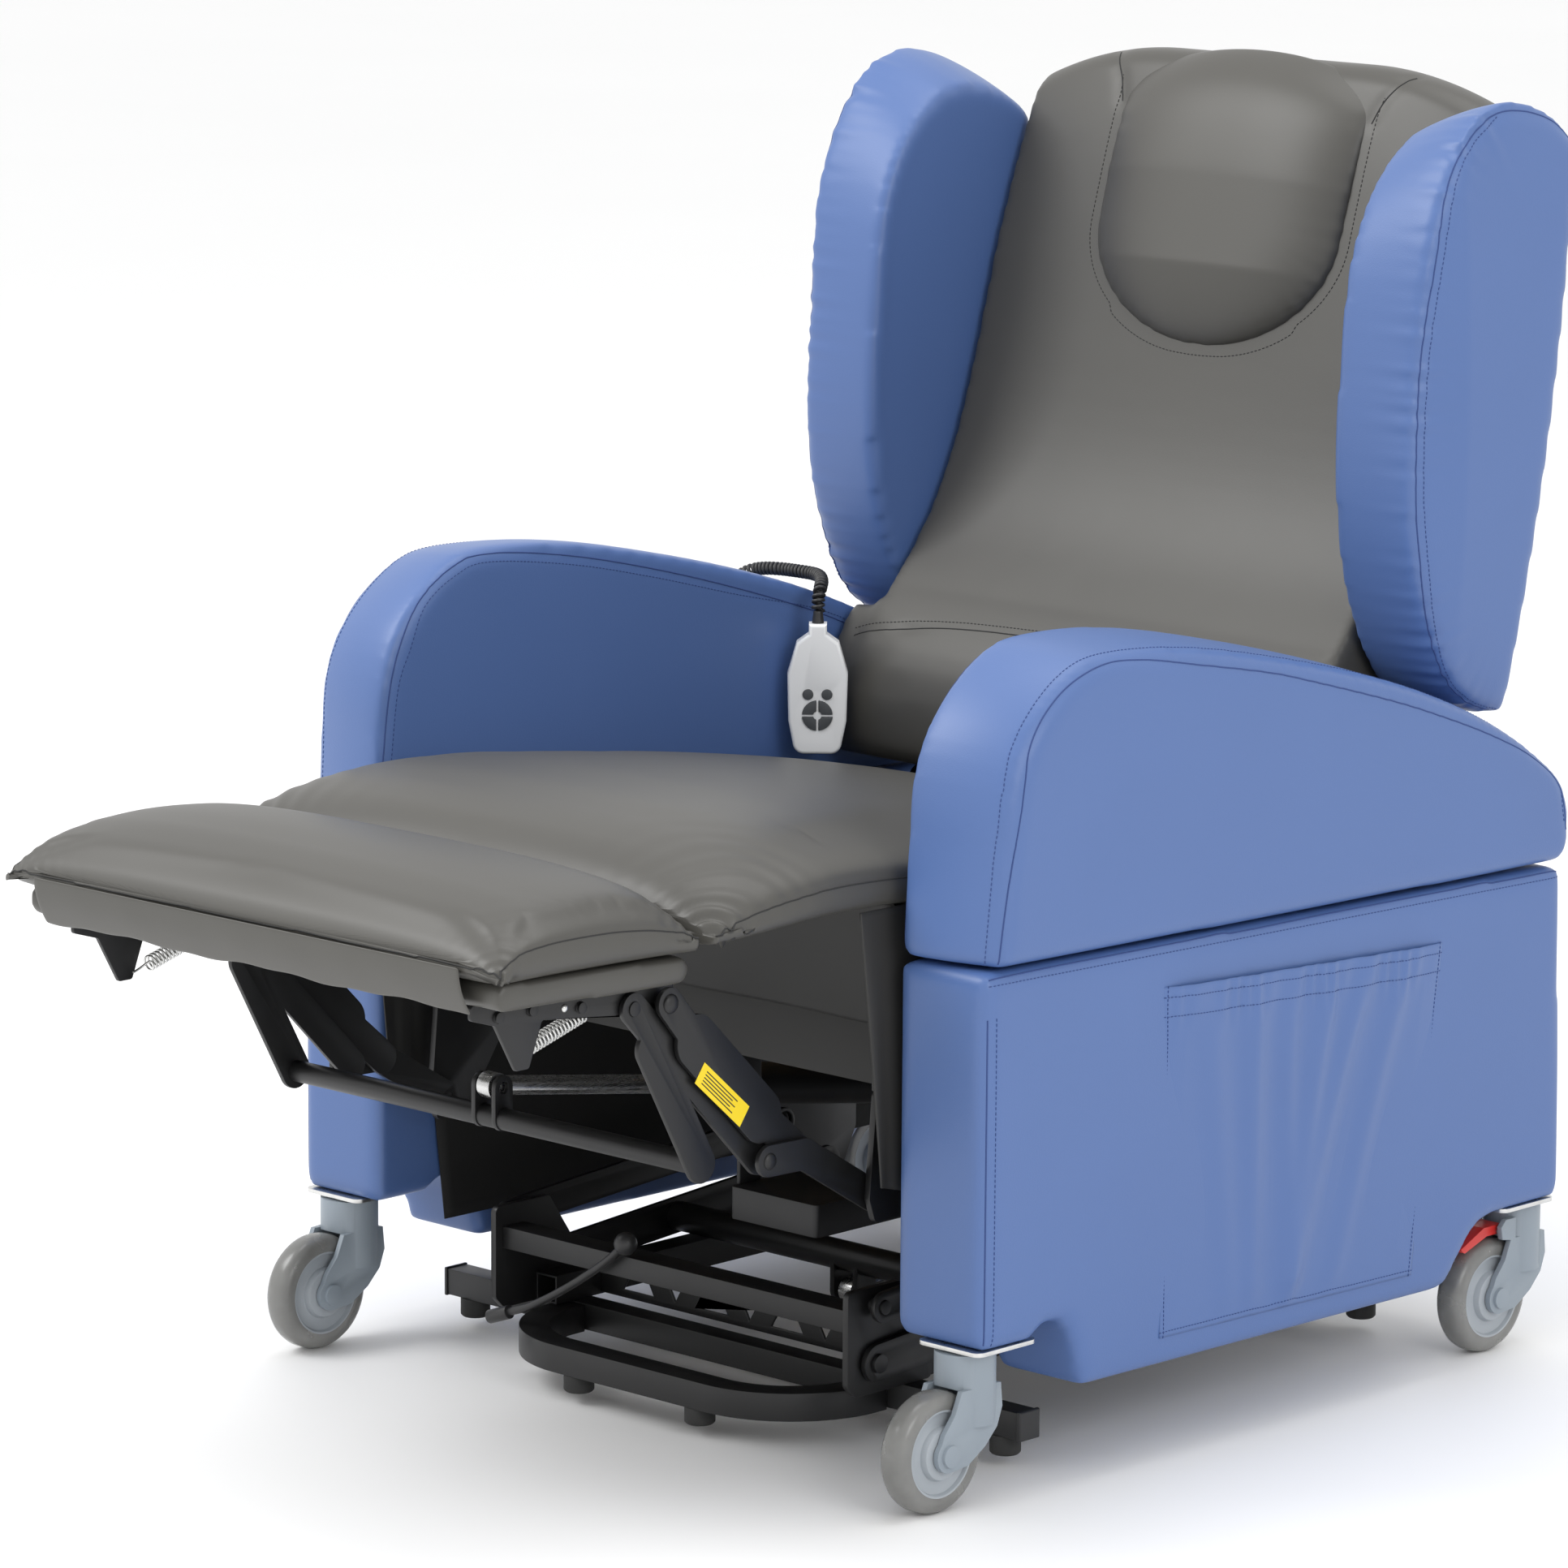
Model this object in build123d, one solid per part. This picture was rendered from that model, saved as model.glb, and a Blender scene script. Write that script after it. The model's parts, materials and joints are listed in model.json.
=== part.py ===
from build123d import *
import os
from math import asin, atan2, cos, degrees, hypot, pi, radians, sin, tan

# Powered rise-and-recline care chair on castors, legrest raised, back upright.
# Axes while building: +X to the sitter's left, +Y towards the back, +Z up. X = 0 is the chair's
# middle, Y = 0 is the front face of the side panels and Z = 0 is the floor. Each piece is moved by
# ORIGIN_Y as it is saved, so that the saved origin is the middle of the chair's footprint.

# ---- driving dimensions, millimetres and degrees ----
ORIGIN_Y = 212.0  # middle of the footprint, behind the panels' front face
PANEL_IN = 301.0  # side panels and arms, inner face to outer face, from the middle
PANEL_OUT = 397.0
PANEL_BOTTOM = 133.0
SKIRT_BOTTOM = 82.0
SEAM_FRONT = 443.0  # seam between lower panel and arm, at the front and at the rear
SEAM_REAR = 428.0
PANEL_REAR = 750.0
SEAM_GAP = 3.0
RUNNING = 0.05  # radial clearance of a pin in its bore

WHEEL_R = 50.0
WHEEL_HALF = 15.0
CASTOR_X = 360.0
CASTOR_FRONT_Y = 24.0  # swivel axes
CASTOR_REAR_Y = 727.0
TRAIL = 40.0
AXLE_R = 6.0

# Side-view pivots, as (y, z).
LIFT_LOWER = (78.0, 77.0)  # lift arms on the base towers
LIFT_UPPER = (78.0, 125.3)
LIFT_LOWER_END = (470.0, 105.0)  # lift arms on the seat's lift brackets
LIFT_UPPER_END = (420.0, 150.0)
LIFT_MOTOR = (650.0, 80.0)
LIFT_CROSS = 200.0  # cross tube, along the lower arm from its base pivot
LIFT_HORN = 29.0  # rod pin below that tube
LEG_POLE = (-49.0, 511.0)  # the legrest turns about this line
LINK_ROOT = (33.0, 232.0)  # lower link on the seat's pivot plate
LINK_KNEE = (-47.0, 280.0)  # wide link meets lower link
LINK_TAIL = (-88.0, 281.0)  # second link meets lower link
BOARD_REAR = (-195.0, 425.0)  # wide link on the legrest bracket
BOARD_FRONT = (-229.0, 425.0)  # second link on the legrest bracket
LEG_ROD_PIN = (-153.0, 313.0)
LEG_BAR_DROP = 26.0  # cross bar below the rod pin
LEG_MOTOR = (470.0, 215.0)
BACK_PIVOT = (650.0, 420.0)
BACK_LEVER = (635.0, 318.0)
BACK_MOTOR = (150.0, 318.0)
BACK_MOTOR_X = 90.0

# Layers of plate from the middle outwards, each (inner face, outer face), in X.
TOWER = (203.0, 209.0)
LOWER_ARM = (211.0, 216.0)
UPPER_ARM = (217.5, 222.5)
LIFT_BRACKET = (224.5, 230.5)
LEG_BRACKET = (228.0, 232.0)
SECOND_LINK = (233.5, 238.0)
WIDE_LINK = (239.5, 244.0)
LOWER_LINK = (245.5, 250.0)
PIVOT_PLATE = (252.0, 258.0)
RAIL = (252.0, 277.0)

os.makedirs("parts", exist_ok=True)


# ---- shared shapes ----
def save(name, *shapes):
    """One file for the node, its solids kept apart, moved to the saved origin."""
    solids = [solid for shape in shapes for solid in shape.solids()]
    export_step(Pos(0, -ORIGIN_Y, 0) * Compound(children=solids), f"parts/{name}.step")


def outline(*points):
    """A flat face in side view from its corners, as (y, z)."""
    return make_face(Polyline(*points, close=True))


def plate(sketch, layer):
    """A side-view sketch given thickness across the chair, on the +X side."""
    inner, outer = layer
    return extrude(Plane.YZ.offset(inner) * sketch, amount=outer - inner)


def other_side(shape):
    return mirror(shape, about=Plane.YZ)


def both(shape):
    return Compound(children=[*shape.solids(), *other_side(shape).solids()])


def across(center, radius, layer):
    """A round bar along X."""
    return plate(Pos(*center) * Circle(radius), layer)


def block(x, y, z):
    """A box from its three (low, high) pairs."""
    size = [high - low for low, high in (x, y, z)]
    middle = [(high + low) / 2 for low, high in (x, y, z)]
    return Pos(*middle) * Box(*size)


def strip(start, end, width):
    """A round-ended bar in side view between two pivots."""
    dy, dz = end[0] - start[0], end[1] - start[1]
    middle = ((start[0] + end[0]) / 2, (start[1] + end[1]) / 2)
    return Pos(*middle) * Rot(0, 0, degrees(atan2(dz, dy))) * SlotCenterToCenter(hypot(dy, dz), width)


def toward(start, end, distance, side=0.0):
    """The point a distance from start towards end, and to the left of that line by side."""
    length = hypot(end[0] - start[0], end[1] - start[1])
    uy, uz = (end[0] - start[0]) / length, (end[1] - start[1]) / length
    return (start[0] + distance * uy - side * uz, start[1] + distance * uz + side * uy)


def along(start, end, radius, x, begin, finish):
    """A round bar in the plane X = x, on the line from start to end, between two distances."""
    foot = toward(start, end, begin)
    line = (0, end[0] - start[0], end[1] - start[1])
    return extrude(Plane(origin=(x, *foot), z_dir=line) * Circle(radius), amount=finish - begin)


def box_tube(x, y, z, wall=2.0):
    """A hollow rectangular tube, open at the ends of its longest side."""
    sides = [x, y, z]
    long_side = max(range(3), key=lambda i: sides[i][1] - sides[i][0])
    inner = [
        (low - 1, high + 1) if i == long_side else (low + wall, high - wall)
        for i, (low, high) in enumerate(sides)
    ]
    return block(*sides) - block(*inner)


# ---- lift base, on the floor when the chair rises ----
BASE_RAIL_X = (178.0, 203.0)
BASE_RAIL_Z = (50.0, 75.0)
OUTRIGGER_Y = (116.5, 139.5)
OUTRIGGER_Z = (27.0, 50.0)
OUTRIGGER_HALF = 334.0
REAR_TUBE_Y = (660.0, 683.0)
REAR_TUBE_HALF = 256.0
LOOP_HALF = 177.0
LOOP_Y = 17.0
LOOP_CORNER = 88.0
LOOP_WIDTH = 26.0
LOOP_Z = (25.0, 49.0)
FOOT_R = 13.0
FOOT_BOTTOM = 10.0


def base_frame():
    rail = box_tube(BASE_RAIL_X, (96, REAR_TUBE_Y[1]), BASE_RAIL_Z)
    front = box_tube((-OUTRIGGER_HALF, OUTRIGGER_HALF), OUTRIGGER_Y, OUTRIGGER_Z)
    rear = box_tube((-REAR_TUBE_HALF, REAR_TUBE_HALF), REAR_TUBE_Y, OUTRIGGER_Z)
    ear = strip((LIFT_MOTOR[0] + 18, 58), LIFT_MOTOR, 24) + Pos(668, 56) * Rectangle(24, 12)
    clevis = plate(ear, (15, 19))
    save("base_frame", both(rail), front, rear, both(clevis))


def base_front_loop():
    depth = OUTRIGGER_Y[0] - LOOP_Y
    path = FilletPolyline(
        (-LOOP_HALF, LOOP_Y + depth),
        (-LOOP_HALF, LOOP_Y),
        (LOOP_HALF, LOOP_Y),
        (LOOP_HALF, LOOP_Y + depth),
        radius=LOOP_CORNER,
    )
    band = Pos(0, 0, LOOP_Z[0]) * trace(path, line_width=LOOP_WIDTH)
    save("base_front_loop", extrude(band, amount=LOOP_Z[1] - LOOP_Z[0], dir=(0, 0, 1)))


def base_tower():
    """Two upright plates that carry the lift arms, their pivot studs and the bar between them."""
    foot = OUTRIGGER_Z[1]
    corners = outline((48, 140), (48, 60), (58, foot), (150, foot), (150, 84), (112, 140))
    side = fillet(corners.vertices(), 6)
    studs = across(LIFT_LOWER, 8, (TOWER[0], LOWER_ARM[1] + 3))
    studs += across(LIFT_UPPER, 6, (TOWER[0], UPPER_ARM[1] + 1.5))
    bar = box_tube((-TOWER[0], TOWER[0]), (56, 82), (103, 122))
    save("base_tower", both(plate(side, TOWER) + studs), bar)


def base_lattice():
    """Punched cross plate between the rails, triangles leaning left and right in turn."""
    low, high, edge, pitch = 52.0, 98.0, 7.0, 44.0
    sheet = Pos(0, (low + high) / 2) * Rectangle(2 * BASE_RAIL_X[0], high - low)
    for step in range(-3, 4):
        lean = 1 if step % 2 else -1
        half = pitch / 2 - edge / 2
        tip, foot = (high - edge, low + edge) if lean > 0 else (low + edge, high - edge)
        middle = step * pitch
        sheet -= outline((middle - half, foot), (middle + half, foot), (middle, tip))
    save("base_lattice", extrude(Plane.XZ.offset(-152) * sheet, amount=3))


def end_cap(x_end, tube_y):
    """A plastic plug on an outrigger's end, a little proud of the tube all round."""
    y = (tube_y[0] - 1, tube_y[1] + 1)
    z = (OUTRIGGER_Z[0] - 1, OUTRIGGER_Z[1] + 1)
    cap = block((x_end, x_end + 4), y, z)
    return fillet(cap.faces().sort_by(Axis.X)[-1].edges(), 2)


def base_end_caps():
    front = both(end_cap(OUTRIGGER_HALF, OUTRIGGER_Y))
    rear = both(end_cap(REAR_TUBE_HALF, REAR_TUBE_Y))
    save("base_end_caps", front, rear)


def foot(x, y, top):
    body = Pos(x, y, (FOOT_BOTTOM + top) / 2) * Cylinder(FOOT_R, top - FOOT_BOTTOM)
    return chamfer(body.faces().sort_by(Axis.Z)[0].edges(), 2)


def base_feet():
    front = foot(311, sum(OUTRIGGER_Y) / 2, OUTRIGGER_Z[0])
    loop = foot(71, LOOP_Y, LOOP_Z[0])
    rear = foot(240, sum(REAR_TUBE_Y) / 2, OUTRIGGER_Z[0])
    save("base_feet", both(front), both(loop), both(rear))


LEAD_R = 3.5
LEAD_ROUTE = [
    (-168, 30, 58),
    (-146, 31, 66),
    (-124, 35, 78),
    (-103, 42, 92),
    (-84, 47, 106),
    (-68, 49, 118),
    (-56, 50, 129),
]


def tube_along(points, radius):
    """A round tube of straight runs and tangent arcs, each arc as large as its two runs allow."""
    runs = [Vector(*b) - Vector(*a) for a, b in zip(points, points[1:])]
    radii = []
    for before, after in zip(runs, runs[1:]):
        half_turn = radians(before.get_angle(after)) / 2
        radii.append(0.45 * min(before.length, after.length) / tan(half_turn))
    print("tube radii", [round(r) for r in radii])
    path = FilletPolyline(*points, radius=radii)
    tube = sweep(Plane(origin=path @ 0, z_dir=path % 0) * Circle(radius), path=path)
    print("tube volume over section times length", round(tube.volume / (pi * radius**2 * path.length), 4))
    return tube


def base_lead():
    """The low-voltage lead between the lift motor and the control box, tied to the top bar."""
    first, last = Vector(*LEAD_ROUTE[0]), Vector(*LEAD_ROUTE[-1])
    out = (first - Vector(*LEAD_ROUTE[1])).normalized()
    up = (last - Vector(*LEAD_ROUTE[-2])).normalized()
    plug = extrude(Plane(origin=first, z_dir=out) * Circle(6), amount=24)
    knob = Pos(*(last + up * 9)) * Sphere(10)
    save("base_lead", tube_along(LEAD_ROUTE, LEAD_R), plug, knob)


# ---- lift arms and their motor ----
def lift_lower_arms():
    arm = plate(strip(LIFT_LOWER, LIFT_LOWER_END, 32), LOWER_ARM)
    arm -= across(LIFT_LOWER, 8 + RUNNING, LOWER_ARM) + across(LIFT_LOWER_END, 8 + RUNNING, LOWER_ARM)
    hub = toward(LIFT_LOWER, LIFT_LOWER_END, LIFT_CROSS)
    pin = (hub[0], hub[1] - LIFT_HORN)
    tube = across(hub, 13, (-LOWER_ARM[0], LOWER_ARM[0]))
    horn = plate(strip(hub, pin, 24) - Pos(*hub) * Circle(13), (11, 16))
    horn -= across(pin, 5, (10, 17))
    save("lift_lower_arms", both(arm), tube, both(horn))


def lift_upper_arms():
    slack = 4.5  # this pivot is left open, so its hole is large
    arm = plate(strip(LIFT_UPPER, LIFT_UPPER_END, 26), UPPER_ARM)
    arm -= across(LIFT_UPPER, 6 + RUNNING, UPPER_ARM) + across(LIFT_UPPER_END, 5 + slack, UPPER_ARM)
    save("lift_upper_arms", both(arm))


ROD_R = 8.0
EYE_HALF = 7.0


def motor_body(start, end, x, length, radius):
    """A linear actuator's motor and outer tube, with its rear eye about the pivot at start."""
    eye = across(start, 13, (x - EYE_HALF, x + EYE_HALF))
    tube = along(start, end, radius, x, 12.4, length)
    gearbox = along(start, end, radius + 7, x, 30, 95)
    bore = along(start, end, ROD_R + RUNNING, x, 60, length + 1)
    return (eye + tube + gearbox) - bore - across(start, 5, (x - 10, x + 10))


def motor_rod(start, end, x, inside):
    """The actuator's sliding rod, with its eye about the far pivot."""
    reach = hypot(end[0] - start[0], end[1] - start[1])
    rod = along(start, end, ROD_R, x, inside, reach - 8)
    eye = across(end, 11, (x - EYE_HALF, x + EYE_HALF))
    return rod + eye - across(end, 5, (x - 8, x + 8))


def lift_rod_pin():
    hub = toward(LIFT_LOWER, LIFT_LOWER_END, LIFT_CROSS)
    return (hub[0], hub[1] - LIFT_HORN)


def lift_actuator():
    save("lift_motor", motor_body(LIFT_MOTOR, lift_rod_pin(), 0, 250, 20))
    save("lift_rod", motor_rod(LIFT_MOTOR, lift_rod_pin(), 0, 90))


# ---- seat frame ----
RAIL_Z = (320.0, 380.0)


def seat_frame():
    """Side rails, cross tubes, pivot plates and lift brackets."""
    rail = box_tube(RAIL, (28, 690), RAIL_Z)
    rail += block(RAIL, (28, 31), RAIL_Z) + block(RAIL, (687, 690), RAIL_Z)
    front = box_tube((-RAIL[0], RAIL[0]), (110, 140), (345, 370))
    rear = box_tube((-RAIL[0], RAIL[0]), (528, 556), (353, 378))
    middle = box_tube((-LIFT_BRACKET[0], LIFT_BRACKET[0]), (484, 514), (200, 230))
    root = fillet(outline((28, 320), (20, 232), (27, 212), (60, 212), (120, 300), (120, 320)).vertices(), 5)
    root_stud = across(LINK_ROOT, 6, (LOWER_LINK[0] + 1, PIVOT_PLATE[1]))
    side = outline((396, 140), (440, 88), (500, 88), (520, 130), (520, 319), (396, 319))
    side = fillet(side.vertices(), 6)
    lift_stud = across(LIFT_LOWER_END, 8, (LOWER_ARM[0] - 1, LIFT_BRACKET[1]))
    shelf = block((LIFT_BRACKET[0], RAIL[1]), (396, 520), (RAIL_Z[0] - 4, RAIL_Z[0]))
    side_plate = plate(side, LIFT_BRACKET) + lift_stud
    back = outline((618, 380), (682, 380), (676, 436), (660, 446), (640, 446), (624, 436))
    back = fillet(back.vertices(), 6)
    back_stud = across(BACK_PIVOT, 8, (BACK_PLATE[0] - 1, PIVOT_PLATE[1]))
    anchor = plate(strip((BACK_MOTOR[0], 336), BACK_MOTOR, 22), (BACK_MOTOR_X + 11, BACK_MOTOR_X + 15))
    anchor_top = block((BACK_MOTOR_X - 15, BACK_MOTOR_X + 15), (112, 161), (341, 345))
    anchors = [anchor, Pos(-26, 0, 0) * anchor, anchor_top]
    leg_anchor = both(plate(strip((490, 215), LEG_MOTOR, 24) - Pos(499, 215) * Rectangle(30, 60), (11, 15)))
    save(
        "seat_frame",
        both(rail),
        front,
        rear,
        middle,
        both(plate(root, PIVOT_PLATE) + root_stud),
        both(side_plate),
        both(shelf),
        both(plate(back, PIVOT_PLATE) + back_stud),
        *anchors,
        leg_anchor,
    )


def seat_deck():
    """Plywood deck under the cushion, resting on the rails."""
    save("seat_deck", block((-277, 277), (66, 545), (380.5, 394)))


def castor_plates():
    """Zinc plates under the side panels that carry the castors' stems."""
    plates = []
    for y in (CASTOR_FRONT_Y, CASTOR_REAR_Y):
        inward = 14 if y == CASTOR_FRONT_Y else -18
        square = fillet((Pos(CASTOR_X, y + inward) * Rectangle(68, 72)).vertices(), 8)
        sheet = extrude(Pos(0, 0, 129) * square, amount=3.6)
        bore = Pos(CASTOR_X, y, 131) * Cylinder(AXLE_R + RUNNING, 8)
        plates.append(both(sheet - bore))
    save("castor_plates", *plates)


# ---- side panels and arms ----
def soft_edges(shape, radius):
    """Round off the two upright faces of an upholstered block."""
    inner = shape.faces().sort_by(Axis.X)[0].edges()
    outer = shape.faces().sort_by(Axis.X)[-1].edges()
    return fillet([*inner, *outer], radius)


def side_panel():
    """Upholstered lower panel, its skirt notched over both castors."""
    corners = outline(
        (3, PANEL_BOTTOM),
        (66, PANEL_BOTTOM),
        (76, 143),
        (100, 143),
        (112, PANEL_BOTTOM - 6),
        (126, SKIRT_BOTTOM),
        (592, SKIRT_BOTTOM - 5),
        (614, 102),
        (628, 122),
        (655, PANEL_BOTTOM),
        (PANEL_REAR, PANEL_BOTTOM),
        (PANEL_REAR - 10, SEAM_REAR - SEAM_GAP),
        (4, SEAM_FRONT - SEAM_GAP),
    )
    return soft_edges(plate(corners, (PANEL_IN, PANEL_OUT)), 4)


def arm():
    """Upholstered arm: upright front, round shoulder, top sloping down to the rear."""
    front = Line((2, SEAM_FRONT), (8, 540))
    shoulder = Spline((8, 540), (33, 630), (90, 678), (160, 688), tangents=[(0.03, 1), (1, -0.02)])
    top = Spline((160, 688), (330, 664), (560, 600), (730, 512), tangents=[(1, -0.02), (0.8, -0.6)])
    heel = Spline((730, 512), (750, 474), (744, SEAM_REAR), tangents=[(0.8, -0.6), (-0.3, -1)])
    base = Line((744, SEAM_REAR), (2, SEAM_FRONT))
    body = plate(make_face(front + shoulder + top + heel + base), (PANEL_IN, PANEL_OUT))
    return soft_edges(body, 10)


def panels_and_arms():
    save("side_panel_left", side_panel())
    save("side_panel_right", other_side(side_panel()))
    save("arm_left", arm())
    save("arm_right", other_side(arm()))


POCKET_Y = (216.0, 562.0)
POCKET_Z = (102.0, 392.0)
POCKET_DEEP = 11.0


def side_pocket():
    """Open-topped pouch on the left panel: front sheet, two side walls and a floor."""
    outer = block((PANEL_OUT, PANEL_OUT + POCKET_DEEP), POCKET_Y, POCKET_Z)
    inside = (POCKET_Y[0] + 3, POCKET_Y[1] - 3)
    hollow = block((PANEL_OUT - 1, PANEL_OUT + POCKET_DEEP - 2), inside, (POCKET_Z[0] + 3, POCKET_Z[1] + 1))
    save("side_pocket", outer - hollow)


def rear_panel():
    """Upholstered panel across the back, between the side panels."""
    save("rear_panel", block((-PANEL_IN + 1, PANEL_IN - 1), (735, 749), (140, 424)))


def seat_valance():
    """Grey cloth below the front of the seat."""
    save("seat_valance", block((-222, 222), (72, 75), (312, 380)))


# ---- seat, legrest and their soft parts ----
def seat_cushion():
    """Seat cushion, high at the knee and lower at the back."""
    front = Polyline((60, 398), (58, 472), (-40, 480), (-40, 540))
    top = Spline((-40, 540), (40, 534), (250, 506), (540, 458), tangents=[(1, 0.02), (1, -0.15)])
    base = Polyline((540, 458), (540, 398), (60, 398))
    save("seat_cushion", plate(make_face(front + top + base), (-296, 296)))


def knee_cover():
    """The soft bridge between the seat's nose and the legrest pad. It rolls as the legrest folds."""
    top = Spline((-196, 490), (-165, 524), (-110, 538), (-43, 540), tangents=[(0.3, 1), (1, 0)])
    close = Polyline((-43, 540), (-43, 480), (-120, 477), (-196, 476), (-196, 490))
    save("knee_cover", plate(make_face(top + close), (-294, 294)))


def legrest_board():
    """Upholstered board under the legrest pad."""
    corners = outline((-203, 446), (-203, 468), (-408, 476), (-408, 454))
    save("legrest_board", plate(fillet(corners.vertices(), 5), (-272, 272)))


def legrest_pillow():
    """Legrest pad, pointed at its four corners."""
    under = Polyline((-198, 474), (-203, 468.5), (-408, 476.5), (-426, 490))
    over = Spline((-426, 490), (-385, 520), (-305, 533), (-230, 524), (-198, 494))
    close = Line((-198, 494), (-198, 474))
    save("legrest_pillow", plate(make_face(under + over + close), (-288, 288)))


def legrest_brackets():
    """Angle bracket under each side of the board, with bolts and the links' pivot studs."""
    under = [(-400, 441), (-374, 433), (-352, 394), (-338, 394), (-324, 430), (-180, 413)]
    flange = outline((-400, 453), *under, (-180, 437), (-203, 445))
    wall = plate(fillet(flange.vertices(), 3), LEG_BRACKET)
    studs = across(BOARD_REAR, 6, (LEG_BRACKET[1], WIDE_LINK[1] + 2))
    studs += across(BOARD_FRONT, 6, (LEG_BRACKET[1], SECOND_LINK[1] + 1))
    heads = (LEG_BRACKET[1], LEG_BRACKET[1] + 3.5)
    bolts = [both(across(at, 4.5, heads)) for at in ((-372, 440), (-336, 440), (-283, 434))]
    save("legrest_brackets", both(wall + studs), *bolts)


SPRING_HOOK = (-345.0, 402.0)
SPRING_TOP = (-252.0, 429.0)


def legrest_springs():
    """Extension springs beside the brackets, as their outer tubes and end wires."""
    length = hypot(SPRING_TOP[0] - SPRING_HOOK[0], SPRING_TOP[1] - SPRING_HOOK[1])
    coil = along(SPRING_HOOK, SPRING_TOP, 7.5, 219, 16, length - 12)
    wires = along(SPRING_HOOK, SPRING_TOP, 1, 219, 0, length)
    save("legrest_springs", both(coil + wires))


# ---- legrest links ----
def link_lower():
    """Short links on the seat's pivot plates, one each side."""
    body = strip(LINK_ROOT, LINK_KNEE, 26) + strip(LINK_KNEE, LINK_TAIL, 26)
    side = plate(body, LOWER_LINK) - across(LINK_ROOT, 6 + RUNNING, LOWER_LINK)
    save("legrest_lower_links", both(side))


def link_wide():
    """Wide cranked links from the legrest brackets down to the knee."""
    neck = toward(BOARD_REAR, LINK_KNEE, 46, -4)
    waist = toward(BOARD_REAR, LINK_KNEE, 150, -4)
    body = strip(BOARD_REAR, neck, 26) + strip(neck, waist, 44) + strip(waist, LINK_KNEE, 28)
    side = plate(body, WIDE_LINK) - across(BOARD_REAR, 6 + RUNNING, WIDE_LINK)
    save("legrest_wide_links", both(side))


def link_second():
    """Second links, joined by a cross bar that the legrest motor pushes."""
    bar_at = (LEG_ROD_PIN[0], LEG_ROD_PIN[1] - LEG_BAR_DROP)
    body = strip(BOARD_FRONT, LINK_TAIL, 26) + strip(toward(BOARD_FRONT, bar_at, 40), bar_at, 30)
    side = plate(body, SECOND_LINK) - across(BOARD_FRONT, 6 + RUNNING, SECOND_LINK)
    bar = across(bar_at, 9, (-SECOND_LINK[0], SECOND_LINK[0]))
    lug = plate(strip(bar_at, LEG_ROD_PIN, 20) - Pos(*bar_at) * Circle(9), (9.5, 14))
    lug -= across(LEG_ROD_PIN, 5, (9, 15))
    save("legrest_second_links", both(side), bar, both(lug))


def leg_actuator():
    save("legrest_motor", motor_body(LEG_MOTOR, LEG_ROD_PIN, 0, 350, 18))
    save("legrest_rod", motor_rod(LEG_MOTOR, LEG_ROD_PIN, 0, 312))


def back_actuator():
    save("recline_motor", motor_body(BACK_MOTOR, BACK_LEVER, BACK_MOTOR_X, 300, 18))
    save("recline_rod", motor_rod(BACK_MOTOR, BACK_LEVER, BACK_MOTOR_X, 200))


# ---- back ----
BACK_PLATE = (243.0, 249.0)
BACK_FOOT_Z = 455.0
BACK_HEAD_Z = 1060.0
CUSHION_REAR = (669.0, 812.0)  # y of the cushion's rear face at those two heights
FRAME_THICK = 16.0
COVER_THICK = 15.0


def back_line(offset, z):
    """y of a plane behind the cushion, at a height."""
    low, high = CUSHION_REAR
    return low + offset + (z - BACK_FOOT_Z) / (BACK_HEAD_Z - BACK_FOOT_Z) * (high - low)


def leaning(front, rear, bottom, top):
    """Side-view slab between two planes that lean with the back."""
    return outline(
        (back_line(front, bottom), bottom),
        (back_line(rear, bottom), bottom),
        (back_line(rear, top), top),
        (back_line(front, top), top),
    )


def back_frame():
    """Two leaning uprights with cross rails, pivot plates and the motor's lever."""
    gap = 1.0
    upright = plate(leaning(gap, gap + FRAME_THICK, 470, 1030), (222, 243))
    rails = [plate(leaning(gap, gap + FRAME_THICK, z, z + 24), (-222, 222)) for z in (480, 740, 1004)]
    ear = outline((636, 408), (664, 408), (684, 450), (704, 538), (692, 538), (674, 456), (636, 434))
    pivot = plate(fillet(ear.vertices(), 5), BACK_PLATE) - across(BACK_PIVOT, 8 + RUNNING, BACK_PLATE)
    tube = across((668, 440), 11, (-BACK_PLATE[0], BACK_PLATE[0]))
    lever = strip((668, 440), BACK_LEVER, 24) - Pos(668, 440) * Circle(11)
    lug = plate(lever, (BACK_MOTOR_X + 9, BACK_MOTOR_X + 13))
    lug -= across(BACK_LEVER, 5, (BACK_MOTOR_X + 8, BACK_MOTOR_X + 14))
    save("back_frame", both(upright), *rails, both(pivot), tube, lug, Pos(-22, 0, 0) * lug)


def back_cover():
    """Upholstered rear shell, wider below between the arms."""
    gap = FRAME_THICK + 2
    upper = plate(leaning(gap, gap + COVER_THICK, 540, 1058), (-262, 262))
    lower = plate(leaning(gap, gap + COVER_THICK, 452, 540), (-290, 290))
    save("back_cover", upper + lower)


def cushion_body():
    """Narrow between the wings, with a lumbar swell that widens between the arms."""
    low, high = back_line(0, 457), back_line(0, 1060)
    front = Spline((548, 470), (562, 560), (640, 662), (708, 820), (756, 990), (784, 1070))
    crown = Spline((784, 1070), (808, 1088), (838, 1076), (844, 1061))
    rear = Polyline((844, 1061), (high, 1060), (low, 457), (560, 457), (548, 470))
    swell = Spline((549, 470), (562, 552), (588, 592))
    under = [(588, 592), (612, 572), (648, 548), (back_line(-1, 530), 530), (low, 457)]
    flank = make_face(swell + Polyline(*under, (562, 457), (549, 470)))
    return plate(make_face(front + crown + rear), (-262, 262)) + both(plate(flank, (262, 296)))


def back_cushion():
    save("back_cushion", cushion_body())


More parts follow.
